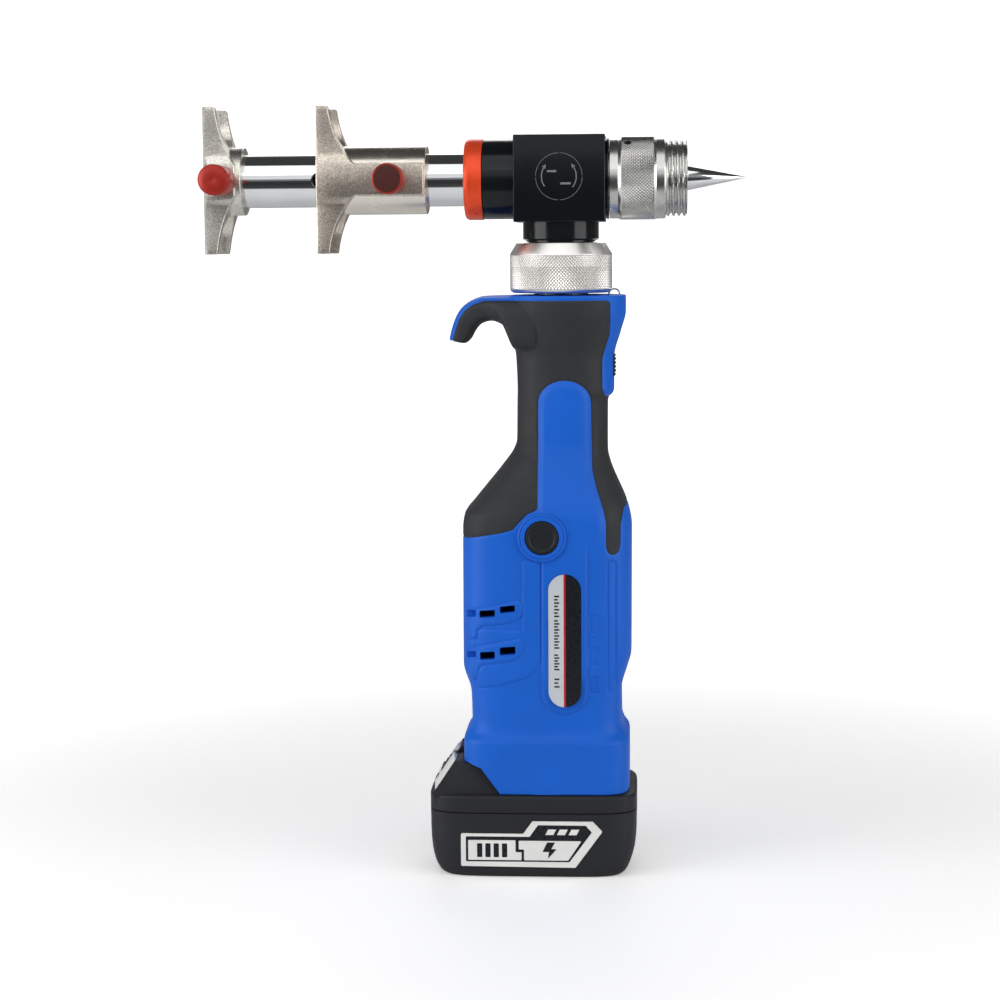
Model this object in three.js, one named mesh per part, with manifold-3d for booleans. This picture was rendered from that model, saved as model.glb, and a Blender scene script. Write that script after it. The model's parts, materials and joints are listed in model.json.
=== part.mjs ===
// Cordless hydraulic sleeve press and pipe expander.
// Millimetres, +Z up, +X towards the expander cone, +Y away from the label side.
// The origin lies under the battery, on the axis that the head turns about.
import * as THREE from "three";
import { mergeVertices, toCreasedNormals } from "three/addons/utils/BufferGeometryUtils.js";
import Module from "manifold-3d";

const wasm = await Module();
wasm.setup();

// ---------------------------------------------------------------- dimensions

const FIT = 0.1; // radial clearance of a running fit
const GAP = 0.15; // clearance between fixed neighbours
const ROUND = 28; // facets of a large turned piece
const SMALL = 16; // facets of a small turned piece

const HEAD_Z = 384; // height of the press and expander axis
const BORE_R = 16; // hydraulic bore through the head
const TUBE_R = 14.5; // outside of the guide tube
const TUBE_BORE_R = 10;
const TUBE_LEFT = -193;
const PRESS_STROKE = 40;

const PIN_R = 4.25; // cross pins of both jaws
const KNOB_R = 8.25;
const SLIDER_PIN_X = -91.8;
const END_PIN_X = -184.7;

const JAW_HALF_HEIGHT = 40;
const JAW_HALF_DEPTH = 21;
const JAW_TIP = 7; // thickness of a prong's tip along the pipe
const SLEEVE_R = 18.7;
const BAND_HALF = 8.4; // half height of the flat band along each side of a jaw
const SEAT_R = 14; // pipe seat between the prongs
const SEAT_CENTRE = 33.5; // seat centre above or below the head axis
const SEAT_LIP = 2.2; // extra width of the stepped seat

const BLOCK_LEFT = -25;
const BLOCK_RIGHT = 24.6;
const BLOCK_HALF_DEPTH = 24;
const BARREL_R = 21.7;
const COLLAR_LEFT = -54;
const COLLAR_RIGHT = -42.5;
const COLLAR_R = 22.1;
const STEM_R = 20.9;

const RING_LOW = 321.9;
const RING_HIGH = 349.3;
const RING_R = 28.3;
const SPIGOT_R = 12;
const RING_BORE_R = 15; // the ring turns on a step of the neck insert

const MOTOR_X = -8.5; // axis of motor, gearbox and pump shaft
const HOUSING_TOP = 320.6;
const WALL = 4.5;
const GRIP_DEPTH = 2.1; // depth of the recess that holds the soft grip
const SPLIT = 0.15; // half of the gap between the two housing halves

const TRIGGER_Z = 282;
const BUTTON_X = -9.8;
const BUTTON_Z = 189.7;
const BUTTON_R = 9.2;
const LABEL_X = 2.4;
const LABEL_LOW = 96;
const LABEL_HIGH = 169.5;
const LABEL_HALF = 8.9;

const BATTERY_SEAM = 36.3;
const BATTERY_TOP = 46.5;

// Housing outline: height, left edge, right edge, half depth, squareness of the section.
const HOUSING = [
  [46.8, -55.7, 37.4, 36.4, 6],
  [76, -55.7, 37.4, 36.4, 6],
  [81.5, -52.6, 34.6, 33.6, 5.5],
  [86, -51.4, 33.4, 32.7, 5],
  [102, -52, 33.4, 33.2, 5],
  [117, -56, 37.4, 35, 4.4],
  [123, -56, 38.4, 35, 4.2],
  [193, -55.5, 38.5, 35, 4.2],
  [200.8, -53.6, 37.8, 34.5, 4],
  [206.4, -49.3, 36.2, 33.2, 3.8],
  [228.9, -31.2, 27.1, 25.8, 3],
  [235, -26.9, 25.8, 24, 2.7],
  [241, -24.8, 25.7, 23.2, 2.6],
  [263, -24.5, 25.8, 23, 2.5],
  [268, -24.4, 29.2, 23, 2.4],
  [287, -25.1, 29.4, 23.6, 2.3],
  [301.5, -28.4, 33.2, 26.8, 2.3],
  [312, -30, 35.8, 29, 2.3],
  [320.6, -30, 35.8, 29.4, 2.3],
];

// Battery case outline, in the same order.
const BATTERY = [
  [0, -64.5, 34.8, 31.5, 6],
  [2, -66.8, 36.8, 34.3, 6],
  [8, -69.8, 39, 36.6, 6],
  [15, -71.6, 40.4, 37.3, 6],
  [23, -72.4, 41.2, 37.5, 6],
  [36.3, -72.6, 41.6, 37.5, 6],
];

// Silhouette of the finger hook, from its root round the outside to the inner arch.
const HOOK = [
  [-20, 320.6],
  [-42.2, 320.6],
  [-49.5, 318],
  [-54.6, 314.3],
  [-58.3, 308.6],
  [-60.6, 302],
  [-62, 296.5],
  [-60.6, 294.2],
  [-53.6, 293.9],
  [-50.4, 295.8],
  [-47.6, 301],
  [-43.6, 305.2],
  [-37.9, 306.5],
  [-32, 305],
  [-28.4, 301],
  [-26, 290],
  [-20, 290],
];

// Soft grip as seen from the side: round the hook, down the neck, round the side panel.
const GRIP = [
  [27.4, 317.9],
  [-42, 317.9],
  [-48.4, 315.6],
  [-52.8, 312.4],
  [-56, 307.4],
  [-58.2, 300.8],
  [-59.6, 296],
  [-60.4, 290],
  [-70, 290],
  [-70, 189.8],
  [-52.5, 190],
  [-31, 194.2],
  [-23.5, 198.4],
  [-12.2, 207],
  [-12.2, 262],
  [-10.4, 268.2],
  [-5, 272.9],
  [2.4, 274.4],
  [9.8, 272.9],
  [15, 268.2],
  [16.8, 262],
  [17.4, 226],
  [20, 215.4],
  [23.6, 204.4],
  [25, 198],
  [25, 184],
  [26.6, 180.4],
  [29.4, 179.6],
  [32, 181.4],
  [32.8, 185],
  [33, 196],
  [34.6, 205],
  [50, 210],
  [50, 264.6],
  [24.6, 264.6],
  [22.9, 270],
  [22.9, 286],
  [24.6, 292],
  [26.8, 299],
  [27.4, 306],
];

// Cooling slots: left, right, bottom, top.
const VENTS = [
  [-52.4, -46.4, 144.6, 148.3],
  [-44.4, -35.8, 145, 149],
  [-33, -24.8, 147.9, 151.7],
  [-52.6, -46.6, 122.1, 125.5],
  [-44.2, -36, 121.6, 126],
  [-33.2, -24.6, 124.5, 129],
];

const CASE_SCREWS = [
  [-46, 182],
  [29, 172],
  [-46, 134],
  [29, 134],
  [-43, 76],
  [26, 76],
];

// ---------------------------------------------------------------- solids

// A closed three.js geometry as a manifold solid that faces out.
function solid(geometry) {
  const bare = geometry.clone();
  bare.deleteAttribute("normal");
  bare.deleteAttribute("uv");
  const merged = mergeVertices(bare, 1e-4);
  const index = merged.index.array;
  const kept = [];
  for (let i = 0; i < index.length; i += 3) {
    const [a, b, c] = [index[i], index[i + 1], index[i + 2]];
    if (a !== b && b !== c && c !== a) kept.push(a, b, c);
  }
  const build = (corners) =>
    new wasm.Manifold(
      new wasm.Mesh({
        numProp: 3,
        vertProperties: new Float32Array(merged.attributes.position.array),
        triVerts: new Uint32Array(corners),
      }),
    );
  const made = build(kept);
  return made.volume() > 0 ? made : build(kept.reverse());
}

function geometryOf(body) {
  const mesh = body.asOriginal().simplify(0.02).getMesh();
  const geometry = new THREE.BufferGeometry();
  geometry.setAttribute("position", new THREE.BufferAttribute(mesh.vertProperties, 3));
  geometry.setIndex(new THREE.BufferAttribute(mesh.triVerts, 1));
  return toCreasedNormals(geometry, 0.6);
}

function box(x0, x1, y0, y1, z0, z1) {
  const geometry = new THREE.BoxGeometry(x1 - x0, y1 - y0, z1 - z0);
  geometry.translate((x0 + x1) / 2, (y0 + y1) / 2, (z0 + z1) / 2);
  return solid(geometry);
}

// A turned solid about Z through (x, y); the profile lists [radius, height] pairs.
function turnZ(profile, x = 0, y = 0, facets = ROUND) {
  const points = profile.map(([r, h]) => new THREE.Vector2(r, h));
  const geometry = new THREE.LatheGeometry(points, facets);
  geometry.rotateX(Math.PI / 2);
  geometry.translate(x, y, 0);
  return solid(geometry);
}

// A turned solid about the head axis; the profile lists [radius, x] pairs.
function turnX(profile, facets = ROUND, y = 0, z = HEAD_Z) {
  const points = profile.map(([r, h]) => new THREE.Vector2(r, h));
  const geometry = new THREE.LatheGeometry(points, facets);
  geometry.rotateZ(-Math.PI / 2);
  geometry.translate(0, y, z);
  return solid(geometry);
}

// Profile of a solid rod with chamfered ends.
function rod(low, high, radius, chamfer) {
  return [
    [0, low],
    [radius - chamfer, low],
    [radius, low + chamfer],
    [radius, high - chamfer],
    [radius - chamfer, high],
    [0, high],
  ];
}

function cylinderZ(radius, z0, z1, x = 0, y = 0, facets = ROUND) {
  const geometry = new THREE.CylinderGeometry(radius, radius, z1 - z0, facets);
  geometry.rotateX(Math.PI / 2);
  geometry.translate(x, y, (z0 + z1) / 2);
  return solid(geometry);
}

function cylinderX(radius, x0, x1, facets = ROUND, y = 0, z = HEAD_Z) {
  const geometry = new THREE.CylinderGeometry(radius, radius, x1 - x0, facets);
  geometry.rotateZ(Math.PI / 2);
  geometry.translate((x0 + x1) / 2, y, z);
  return solid(geometry);
}

function cylinderY(radius, y0, y1, x, z, facets = SMALL) {
  const geometry = new THREE.CylinderGeometry(radius, radius, y1 - y0, facets);
  geometry.translate(x, (y0 + y1) / 2, z);
  return solid(geometry);
}

function outline(points) {
  return new THREE.Shape(points.map(([a, b]) => new THREE.Vector2(a, b)));
}

// A prism whose outline lies in the XZ plane.
function prismY(shape, y0, y1, curveSegments = 8) {
  const geometry = new THREE.ExtrudeGeometry(shape, {
    depth: y1 - y0,
    bevelEnabled: false,
    curveSegments,
  });
  geometry.rotateX(Math.PI / 2);
  geometry.translate(0, y1, 0);
  return solid(geometry);
}

// A prism whose outline lies in the XY plane.
function prismZ(shape, z0, z1) {
  const geometry = new THREE.ExtrudeGeometry(shape, { depth: z1 - z0, bevelEnabled: false });
  geometry.translate(0, 0, z0);
  return solid(geometry);
}

// A prism whose outline lies in the YZ plane.
function prismX(shape, x0, x1, curveSegments = 10) {
  const geometry = new THREE.ExtrudeGeometry(shape, {
    depth: x1 - x0,
    bevelEnabled: false,
    curveSegments,
  });
  geometry.rotateX(Math.PI / 2);
  geometry.rotateZ(Math.PI / 2);
  geometry.translate(x0, 0, 0);
  return solid(geometry);
}

// Rounded-rectangle sections stacked along Z, each drawn in by inset.
function loft(stations, inset = 0, facets = 28) {
  const last = stations.length - 1;
  const geometry = new THREE.CylinderGeometry(1, 1, 1, facets, last);
  const position = geometry.attributes.position;
  for (let i = 0; i < position.count; i += 1) {
    const [z, left, right, depth, square] = stations[Math.round((0.5 + position.getY(i)) * last)];
    const across = Number(position.getX(i).toFixed(6));
    const along = Number(position.getZ(i).toFixed(6));
    const reach = Math.hypot(across, along) > 0.5 ? 1 : 0;
    const power = 2 / square;
    const halfWidth = ((right - left) / 2 - inset) * reach;
    const halfDepth = (depth - inset) * reach;
    position.setXYZ(
      i,
      (left + right) / 2 + Math.sign(across) * Math.abs(across) ** power * halfWidth,
      Math.sign(along) * Math.abs(along) ** power * halfDepth,
      z,
    );
  }
  return solid(geometry);
}

// Width, depth and squareness of a stack of stations at any height between them.
function stationAt(stations, z) {
  const upper = stations.findIndex((s) => s[0] >= z);
  if (upper <= 0) return [z, ...stations[Math.max(upper, 0)].slice(1)];
  const [a, b] = [stations[upper - 1], stations[upper]];
  const t = (z - a[0]) / (b[0] - a[0]);
  return [z, ...a.slice(1).map((v, i) => v + (b[i + 1] - v) * t)];
}

// The part of a stack of stations between two heights.
function between(stations, low, high) {
  const inside = stations.filter((s) => s[0] > low + 0.5 && s[0] < high - 0.5);
  return [stationAt(stations, low), ...inside, stationAt(stations, high)];
}

// A coil spring along Z, from z0 to z1.
function coil(radius, wire, turns, z0, z1, perTurn = 12) {
  const points = [];
  const steps = turns * perTurn;
  for (let i = 0; i <= steps; i += 1) {
    const angle = (i / perTurn) * 2 * Math.PI;
    const height = z0 + wire + ((z1 - z0 - 2 * wire) * i) / steps;
    points.push(new THREE.Vector3(radius * Math.cos(angle), radius * Math.sin(angle), height));
  }
  const section = new THREE.Shape();
  section.absarc(0, 0, wire, 0, 2 * Math.PI);
  return new THREE.ExtrudeGeometry(section, {
    steps,
    curveSegments: 3,
    bevelEnabled: false,
    extrudePath: new THREE.CatmullRomCurve3(points),
  });
}

// ---------------------------------------------------------------- housing

function hookSolid(inset) {
  const shape = outline(HOOK);
  const side = prismY(shape, -40, 40);
  const plan = prismZ(
    outline([
      [-18, -27 + inset],
      [-30, -24 + inset],
      [-46, -15.5 + inset],
      [-64, -12.5 + inset],
      [-64, 12.5 - inset],
      [-46, 15.5 - inset],
      [-30, 24 - inset],
      [-18, 27 - inset],
    ]),
    280,
    330,
  );
  return side.intersect(plan);
}

// The hook's hard core, inside its soft cover.
function hookCore(inset) {
  const core = outline([
    [-20, 316.4],
    [-41.6, 316.4],
    [-47.4, 314.2],
    [-51.6, 311.2],
    [-54.6, 306.6],
    [-56.6, 300.4],
    [-51.2, 299.4],
    [-48.4, 304.2],
    [-43.6, 308.6],
    [-37.9, 309.8],
    [-31, 308.4],
    [-20, 300],
  ]);
  return prismY(core, -9 + inset, 9 - inset);
}

function housingOuter() {
  return loft(HOUSING).add(hookSolid(0));
}

function gripPrism(side, split) {
  return side < 0 ? prismY(outline(GRIP), -60, -split) : prismY(outline(GRIP), split, 60);
}

function cavity() {
  const levels = [64, 86, 102, 123, 193, 206.4, 235, 265, 291];
  const room = loft(levels.map((z) => stationAt(HOUSING, z)), WALL, 16);
  return room.add(cylinderZ(20.2, 290, HOUSING_TOP + 1));
}

// T-slot that the battery's rails run in, open towards -X.
function batterySlot() {
  const slot = outline([
    [-19.4, 40],
    [19.4, 40],
    [19.4, 51.6],
    [24.4, 51.6],
    [24.4, 60],
    [-24.4, 60],
    [-24.4, 51.6],
    [-19.4, 51.6],
  ]);
  return prismX(slot, -80, 29.5).add(box(-25.3, 5.3, -11.3, 11.3, 59, 66));
}

// Diagonal cut at the foot's lower left, where the battery's shoulder lies.
function shoulderCut() {
  return prismY(
    outline([
      [-70, 40],
      [-33.4, 44],
      [-35.2, 46.7],
      [-49.5, 63.1],
      [-70, 63.1],
    ]),
    -60,
    60,
  );
}

function caseBoss(x, z, side) {
  const bossR = 4.6;
  return side < 0
    ? cylinderY(bossR, -33, -SPLIT, x, z, 8)
    : cylinderY(bossR, SPLIT, 33, x, z, 8);
}

function shellHalf(side) {
  const outer = housingOuter();
  const half = side < 0 ? box(-90, 60, -60, -SPLIT, 30, 340) : box(-90, 60, SPLIT, 60, 30, 340);
  const core = loft(HOUSING, GRIP_DEPTH).add(hookCore(0));
  let shell = outer.subtract(gripPrism(side, -1)).add(core);
  if (side < 0) shell = shell.add(cylinderY(13.4, -37.2, -32, BUTTON_X, BUTTON_Z, ROUND));
  shell = shell.subtract(cavity());
  const walls = loft(HOUSING, 1);
  for (const [x, z] of CASE_SCREWS) {
    shell = shell.add(caseBoss(x, z, side).intersect(walls));
    if (side < 0) {
      shell = shell.subtract(cylinderY(1.6, -16, 0, x, z, 8));
    } else {
      shell = shell.subtract(cylinderY(1.75, -1, 60, x, z, 8));
      shell = shell.subtract(cylinderY(3.5, 14, 60, x, z, 12));
    }
  }
  shell = shell.intersect(half);
  shell = shell.subtract(batterySlot()).subtract(shoulderCut());
  shell = shell.subtract(box(-53.4, -49.6, -9.6, 9.6, 62, 66.6));
  for (const [left, right, low, high] of VENTS) {
    shell = shell.subtract(box(left, right, side * 45 - 20, side * 45 + 20, low, high));
  }
  shell = shell.subtract(box(12, 40, -6.4, 6.4, TRIGGER_Z - 6.4, TRIGGER_Z + 6.4));
  shell = shell.subtract(box(10, 24.6, -8, 8, TRIGGER_Z - 10, TRIGGER_Z + 10));
  if (side < 0) {
    shell = shell.subtract(cylinderY(BUTTON_R + GAP, -60, -20, BUTTON_X, BUTTON_Z, ROUND));
    shell = shell.subtract(cylinderY(11.4, -33.2, -20, BUTTON_X, BUTTON_Z, ROUND));
    shell = shell.subtract(labelPlate(GAP, -40, -34.4));
  } else {
    shell = shell.subtract(eyeTorus(0.75));
  }
  return shell;
}

function gripHalf(side) {
  const inset = loft(HOUSING, GRIP_DEPTH - 0.2).add(hookCore(-0.3));
  let grip = housingOuter().intersect(gripPrism(side, SPLIT)).subtract(inset);
  if (side < 0) grip = grip.subtract(cylinderY(13.8, -60, 0, BUTTON_X, BUTTON_Z, ROUND));
  return trimmed(grip, side);
}

// A hair's clearance all round the grip's edges, left by cutting with its moved outline.
function trimmed(grip, side) {
  const shrunk = [
    [0.16, -0.14],
    [-0.14, 0.16],
  ];
  let kept = grip;
  for (const [dx, dz] of shrunk) {
    kept = kept.intersect(gripPrism(side, SPLIT).translate([dx, 0, dz]));
  }
  return largest(kept);
}

function largest(body) {
  const pieces = body.decompose();
  return pieces.reduce((a, b) => (b.volume() > a.volume() ? b : a));
}

function labelPlate(grow, y0, y1) {
  const shape = new THREE.Shape();
  const r = LABEL_HALF + grow;
  shape.absarc(LABEL_X, LABEL_LOW + LABEL_HALF, r, Math.PI, 2 * Math.PI);
  shape.absarc(LABEL_X, LABEL_HIGH - LABEL_HALF, r, 0, Math.PI);
  return prismY(shape, y0, y1, 8);
}

function eyeTorus(wire) {
  const geometry = new THREE.TorusGeometry(3, wire, 6, SMALL);
  geometry.rotateX(Math.PI / 2);
  geometry.translate(29.2, 10, HOUSING_TOP);
  return solid(geometry);
}

function caseScrew(x, z) {
  const head = cylinderY(3.1, 14.2, 17.2, x, z, 12);
  const socket = cylinderY(1.5, 15.8, 18, x, z, 6);
  const shank = cylinderY(1.4, -13, 14.5, x, z, 8);
  return head.add(shank).subtract(socket);
}

// ---------------------------------------------------------------- handle internals

function triggerSolid() {
  const [low, high] = [TRIGGER_Z - 6.1, TRIGGER_Z + 6.1];
  const face = box(20, 30.4, -6.1, 6.1, low, high);
  const flange = box(20.4, 23.6, -7.6, 7.6, low - 2.6, high + 2.6);
  let made = face.add(flange);
  for (let i = -2; i <= 2; i += 1) {
    const z = TRIGGER_Z + i * 2.2;
    made = made.subtract(box(29.8, 31, -7, 7, z - 0.45, z + 0.45));
  }
  return made;
}

function triggerSwitch() {
  const body = box(9.2, 15.2, -6, 6, TRIGGER_Z - 8.5, TRIGGER_Z + 8.5);
  return body.add(cylinderX(1.2, 15, 17.2, 12, 0, TRIGGER_Z));
}

function releaseButton() {
  const face = cylinderY(BUTTON_R, -37.6, -31, BUTTON_X, BUTTON_Z, ROUND);
  const flange = cylinderY(11, -32.6, -30.6, BUTTON_X, BUTTON_Z, ROUND);
  const dish = cylinderY(BUTTON_R - 1.8, -38, -37.2, BUTTON_X, BUTTON_Z, ROUND);
  return face.add(flange).subtract(dish);
}

function motorCan() {
  return turnZ(
    [
      [20, 88],
      [22, 88],
      [22, 141],
      [20.5, 142],
      [7, 142],
      [7, 144.4],
      [3 + FIT, 144.4],
      [3 + FIT, 139.5],
      [20, 139.5],
      [20, 88],
    ],
    MOTOR_X,
  );
}

function motorRotor() {
  return turnZ(
    [
      [0, 86],
      [3, 86],
      [3, 92],
      [11, 92],
      [11, 97],
      [18.6, 98],
      [18.6, 134],
      [8, 135],
      [3, 135],
      [3, 150],
      [0, 150],
    ],
    MOTOR_X,
  );
}

function gearboxCase() {
  return turnZ(
    [
      [18.5, 144.8],
      [21, 144.8],
      [21, 166],
      [12, 168],
      [5 + FIT, 168],
      [5 + FIT, 164],
      [18.5, 164],
      [18.5, 144.8],
    ],
    MOTOR_X,
  );
}

function eccentricShaft() {
  const carrier = turnZ(
    [
      [0, 156],
      [17, 156],
      [17, 161],
      [5, 161],
      [5, 172],
      [0, 172],
    ],
    MOTOR_X,
  );
  const lobe = cylinderZ(6, 172, 182, MOTOR_X + 1.5);
  const journal = cylinderZ(5, 171, 196, MOTOR_X);
  return carrier.add(lobe).add(journal);
}

function pumpBlock() {
  const body = box(-28, 14, -18.4, 18.4, 171, 204);
  const neck = cylinderZ(15, 203, 208);
  const chamber = cylinderZ(8.2, 170, 184, MOTOR_X);
  const bearing = cylinderZ(5 + FIT, 183, 198, MOTOR_X);
  return body.add(neck).subtract(chamber).subtract(bearing);
}

function neckInsert() {
  return turnZ([
    [3, 208.4],
    [13, 208.4],
    [13, 214],
    [8, 216],
    [8, 293],
    [19.8, 295],
    [19.8, 320.4],
    [RING_BORE_R - 2 * FIT, 321],
    [RING_BORE_R - 2 * FIT, 325],
    [SPIGOT_R, 326],
    [SPIGOT_R, 345],
    [11, 346],
    [3, 346],
    [3, 208.4],
  ]);
}

function oilBladder() {
  return turnZ([
    [8.4, 237],
    [14, 237],
    [16.6, 240],
    [15.6, 245],
    [16.8, 250],
    [15.6, 255],
    [16.6, 261],
    [14, 264],
    [8.4, 264],
    [8.4, 237],
  ]);
}

function controlBoard() {
  const board = box(-36, 19, 23.6, 25.2, 92, 136);
  const driver = box(-30, -14, 25, 27.6, 98, 112);
  const capacitor = box(-4, 8, 25, 27.6, 116, 128);
  return board.add(driver).add(capacitor);
}

function terminalBlock() {
  let made = box(-25, 5, -11, 11, 59.6, 68);
  for (const y of [-7, 0, 7]) made = made.subtract(box(-21, 1, y - 1.5, y + 1.5, 59, 63));
  return made;
}

// ---------------------------------------------------------------- neck ring

function swivelRing() {
  return turnZ([
    [RING_BORE_R, RING_LOW],
    [26.8, RING_LOW],
    [RING_R, RING_LOW + 1.4],
    [RING_R, 343.2],
    [24.4, RING_HIGH - 0.4],
    [23.8, RING_HIGH],
    [18.2, RING_HIGH],
    [18.2, 325.4],
    [RING_BORE_R, 325.4],
    [RING_BORE_R, RING_LOW],
  ]);
}

// ---------------------------------------------------------------- head

function headBlock() {
  const shape = new THREE.Shape();
  const [low, high, edge] = [360.5, 407.4, 1.4];
  shape.moveTo(-BLOCK_HALF_DEPTH + edge, low);
  shape.lineTo(BLOCK_HALF_DEPTH - edge, low);
  shape.lineTo(BLOCK_HALF_DEPTH, low + edge);
  shape.lineTo(BLOCK_HALF_DEPTH, high - edge);
  shape.lineTo(BLOCK_HALF_DEPTH - edge, high);
  shape.lineTo(-BLOCK_HALF_DEPTH + edge, high);
  shape.lineTo(-BLOCK_HALF_DEPTH, high - edge);
  shape.lineTo(-BLOCK_HALF_DEPTH, low + edge);
  const block = prismX(shape, BLOCK_LEFT, BLOCK_RIGHT);
  const barrel = turnX([
    [0, -50.2],
    [19, -50.2],
    [19, COLLAR_RIGHT + 0.3],
    [BARREL_R, COLLAR_RIGHT + 0.3],
    [BARREL_R, BLOCK_LEFT + 2],
    [0, BLOCK_LEFT + 2],
  ]);
  const step = cylinderX(22.1, BLOCK_RIGHT - 1, BLOCK_RIGHT + 2);
  const stem = turnZ([
    [0, 327],
    [17.9, 327],
    [17.9, 349.6],
    [STEM_R - 2.2, 349.6],
    [STEM_R - 2.2, 350.6],
    [STEM_R, 351],
    [STEM_R, 362],
    [0, 362],
  ]);
  const channel = turnZ([
    [0, 326],
    [SPIGOT_R + FIT, 326],
    [SPIGOT_R + FIT, 347],
    [1.8, 347],
    [1.8, HEAD_Z],
    [0, HEAD_Z],
  ]);
  const bore = cylinderX(BORE_R, -60, 40);
  return block.add(barrel).add(step).add(stem).subtract(bore).subtract(channel);
}

function collarNut() {
  return turnX([
    [TUBE_R + 0.2, COLLAR_LEFT],
    [COLLAR_R - 3.4, COLLAR_LEFT],
    [COLLAR_R - 1, COLLAR_LEFT + 1],
    [COLLAR_R, COLLAR_LEFT + 3.4],
    [COLLAR_R, COLLAR_RIGHT],
    [19.2, COLLAR_RIGHT],
    [19.2, -52.6],
    [TUBE_R + 0.2, -52.6],
    [TUBE_R + 0.2, COLLAR_LEFT],
  ]);
}

function guideTube() {
  const tube = turnX([
    [TUBE_BORE_R, TUBE_LEFT],
    [TUBE_R - 0.8, TUBE_LEFT],
    [TUBE_R, TUBE_LEFT + 0.8],
    [TUBE_R, -52.3],
    [18.9, -52.3],
    [18.9, -50.5],
    [TUBE_BORE_R, -50.5],
    [TUBE_BORE_R, TUBE_LEFT],
  ]);
  const half = PIN_R + 0.2;
  const [slotLeft, slotRight] = [SLIDER_PIN_X - PRESS_STROKE, SLIDER_PIN_X];
  const shape = new THREE.Shape();
  shape.absarc(slotLeft, HEAD_Z, half, Math.PI / 2, 1.5 * Math.PI);
  shape.absarc(slotRight, HEAD_Z, half, -Math.PI / 2, Math.PI / 2);
  const slot = prismY(shape, -30, 30, 6);
  const pinHole = cylinderY(PIN_R + GAP, -30, 30, END_PIN_X, HEAD_Z);
  return tube.subtract(slot).subtract(pinHole);
}

function tubeEndPlug() {
  return cylinderX(TUBE_BORE_R - GAP, -180.2, -174);
}

// Both jaws are cut from this side view: tips up and down, arcs into the band.
function jawProfile(left, tipRight, bandAt, right) {
  const shape = new THREE.Shape();
  const top = HEAD_Z + JAW_HALF_HEIGHT;
  const bottom = HEAD_Z - JAW_HALF_HEIGHT;
  const bandTop = HEAD_Z + BAND_HALF;
  const bandBottom = HEAD_Z - BAND_HALF;
  shape.moveTo(left, bottom);
  shape.lineTo(tipRight, bottom);
  shape.quadraticCurveTo(tipRight + 2.5, bandBottom - 11, bandAt, bandBottom);
  shape.lineTo(right, bandBottom);
  shape.lineTo(right, bandTop);
  shape.lineTo(bandAt, bandTop);
  shape.quadraticCurveTo(tipRight + 2.5, bandTop + 11, tipRight, top);
  shape.lineTo(left, top);
  return shape;
}

// A pipe seat seen along the pipe: round at the hub and open beyond the tips.
function seat(way, radius, x0, x1) {
  const shape = new THREE.Shape();
  const centre = HEAD_Z + way * SEAT_CENTRE;
  const far = HEAD_Z + way * (JAW_HALF_HEIGHT + 5);
  shape.moveTo(-radius, far);
  shape.lineTo(-radius, centre);
  shape.absarc(0, centre, radius, Math.PI, way > 0 ? 2 * Math.PI : 0, way < 0);
  shape.lineTo(radius, far);
  return prismX(shape, x0, x1);
}

function jawBody(profile, hubLeft, hubRight, boreR, seatStep) {
  const plate = prismY(profile, -JAW_HALF_DEPTH, JAW_HALF_DEPTH, 7);
  let made = plate.add(cylinderX(SLEEVE_R, hubLeft, hubRight));
  for (const way of [-1, 1]) {
    made = made.subtract(seat(way, SEAT_R, -220, -60));
    made = made.subtract(seat(way, SEAT_R + SEAT_LIP, ...seatStep));
  }
  made = made.add(cylinderX(SLEEVE_R, hubLeft, hubRight));
  return made.subtract(cylinderX(boreR, -220, -60));
}

function slidingJaw() {
  const left = -132.8;
  const profile = jawProfile(left, left + JAW_TIP, -111.5, -75.6);
  const made = jawBody(profile, left, -73.3, TUBE_R + FIT, [left + 3.4, -60]);
  return made.subtract(cylinderY(PIN_R + FIT, -30, 30, SLIDER_PIN_X, HEAD_Z));
}

function endJaw() {
  const left = -194.8;
  const profile = jawProfile(left, left + JAW_TIP, -177.4, -177.4);
  let made = jawBody(profile, left, -174.6, TUBE_R + GAP, [left + 3.4, -60]);
  for (const side of [-1, 1]) {
    const edge = box(-1.6, 1.6, -1.6, 1.6, 330, 440).rotate([0, 0, 45]);
    made = made.subtract(edge.translate([left, side * JAW_HALF_DEPTH, 0]));
  }
  return made.subtract(cylinderY(PIN_R + FIT, -30, 30, END_PIN_X, HEAD_Z));
}

function jawPin(x, knobEnd) {
  const shank = cylinderY(PIN_R, -JAW_HALF_DEPTH - 1, JAW_HALF_DEPTH - 0.6, x, HEAD_Z);
  const knob = cylinderY(KNOB_R, knobEnd + 0.8, -JAW_HALF_DEPTH - 0.2, x, HEAD_Z, ROUND);
  const nose = new THREE.CylinderGeometry(KNOB_R, KNOB_R - 0.8, 0.8, ROUND);
  nose.translate(x, knobEnd + 0.4, HEAD_Z);
  return shank.add(knob).add(solid(nose));
}

function pushRod() {
  const bar = turnX(rod(-102, -9.2, TUBE_BORE_R - FIT, 0.8));
  return bar.subtract(cylinderY(PIN_R + FIT, -20, 20, SLIDER_PIN_X, HEAD_Z));
}

function piston(left, right, rodR) {
  const grooveR = BORE_R - 2.2;
  const middle = (left + right) / 2;
  return turnX([
    [rodR, left],
    [BORE_R - FIT, left],
    [BORE_R - FIT, middle - 1.4],
    [grooveR, middle - 1.4],
    [grooveR, middle + 1.4],
    [BORE_R - FIT, middle + 1.4],
    [BORE_R - FIT, right],
    [0, right],
    ...(rodR > 0 ? [[0, left + 1], [rodR, left + 1], [rodR, left]] : [[0, left]]),
  ]);
}

function seal(middle) {
  return turnX([
    [BORE_R - 2.05, middle - 1.2],
    [BORE_R - 0.15, middle - 1.2],
    [BORE_R - 0.15, middle + 1.2],
    [BORE_R - 2.05, middle + 1.2],
    [BORE_R - 2.05, middle - 1.2],
  ]);
}

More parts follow.
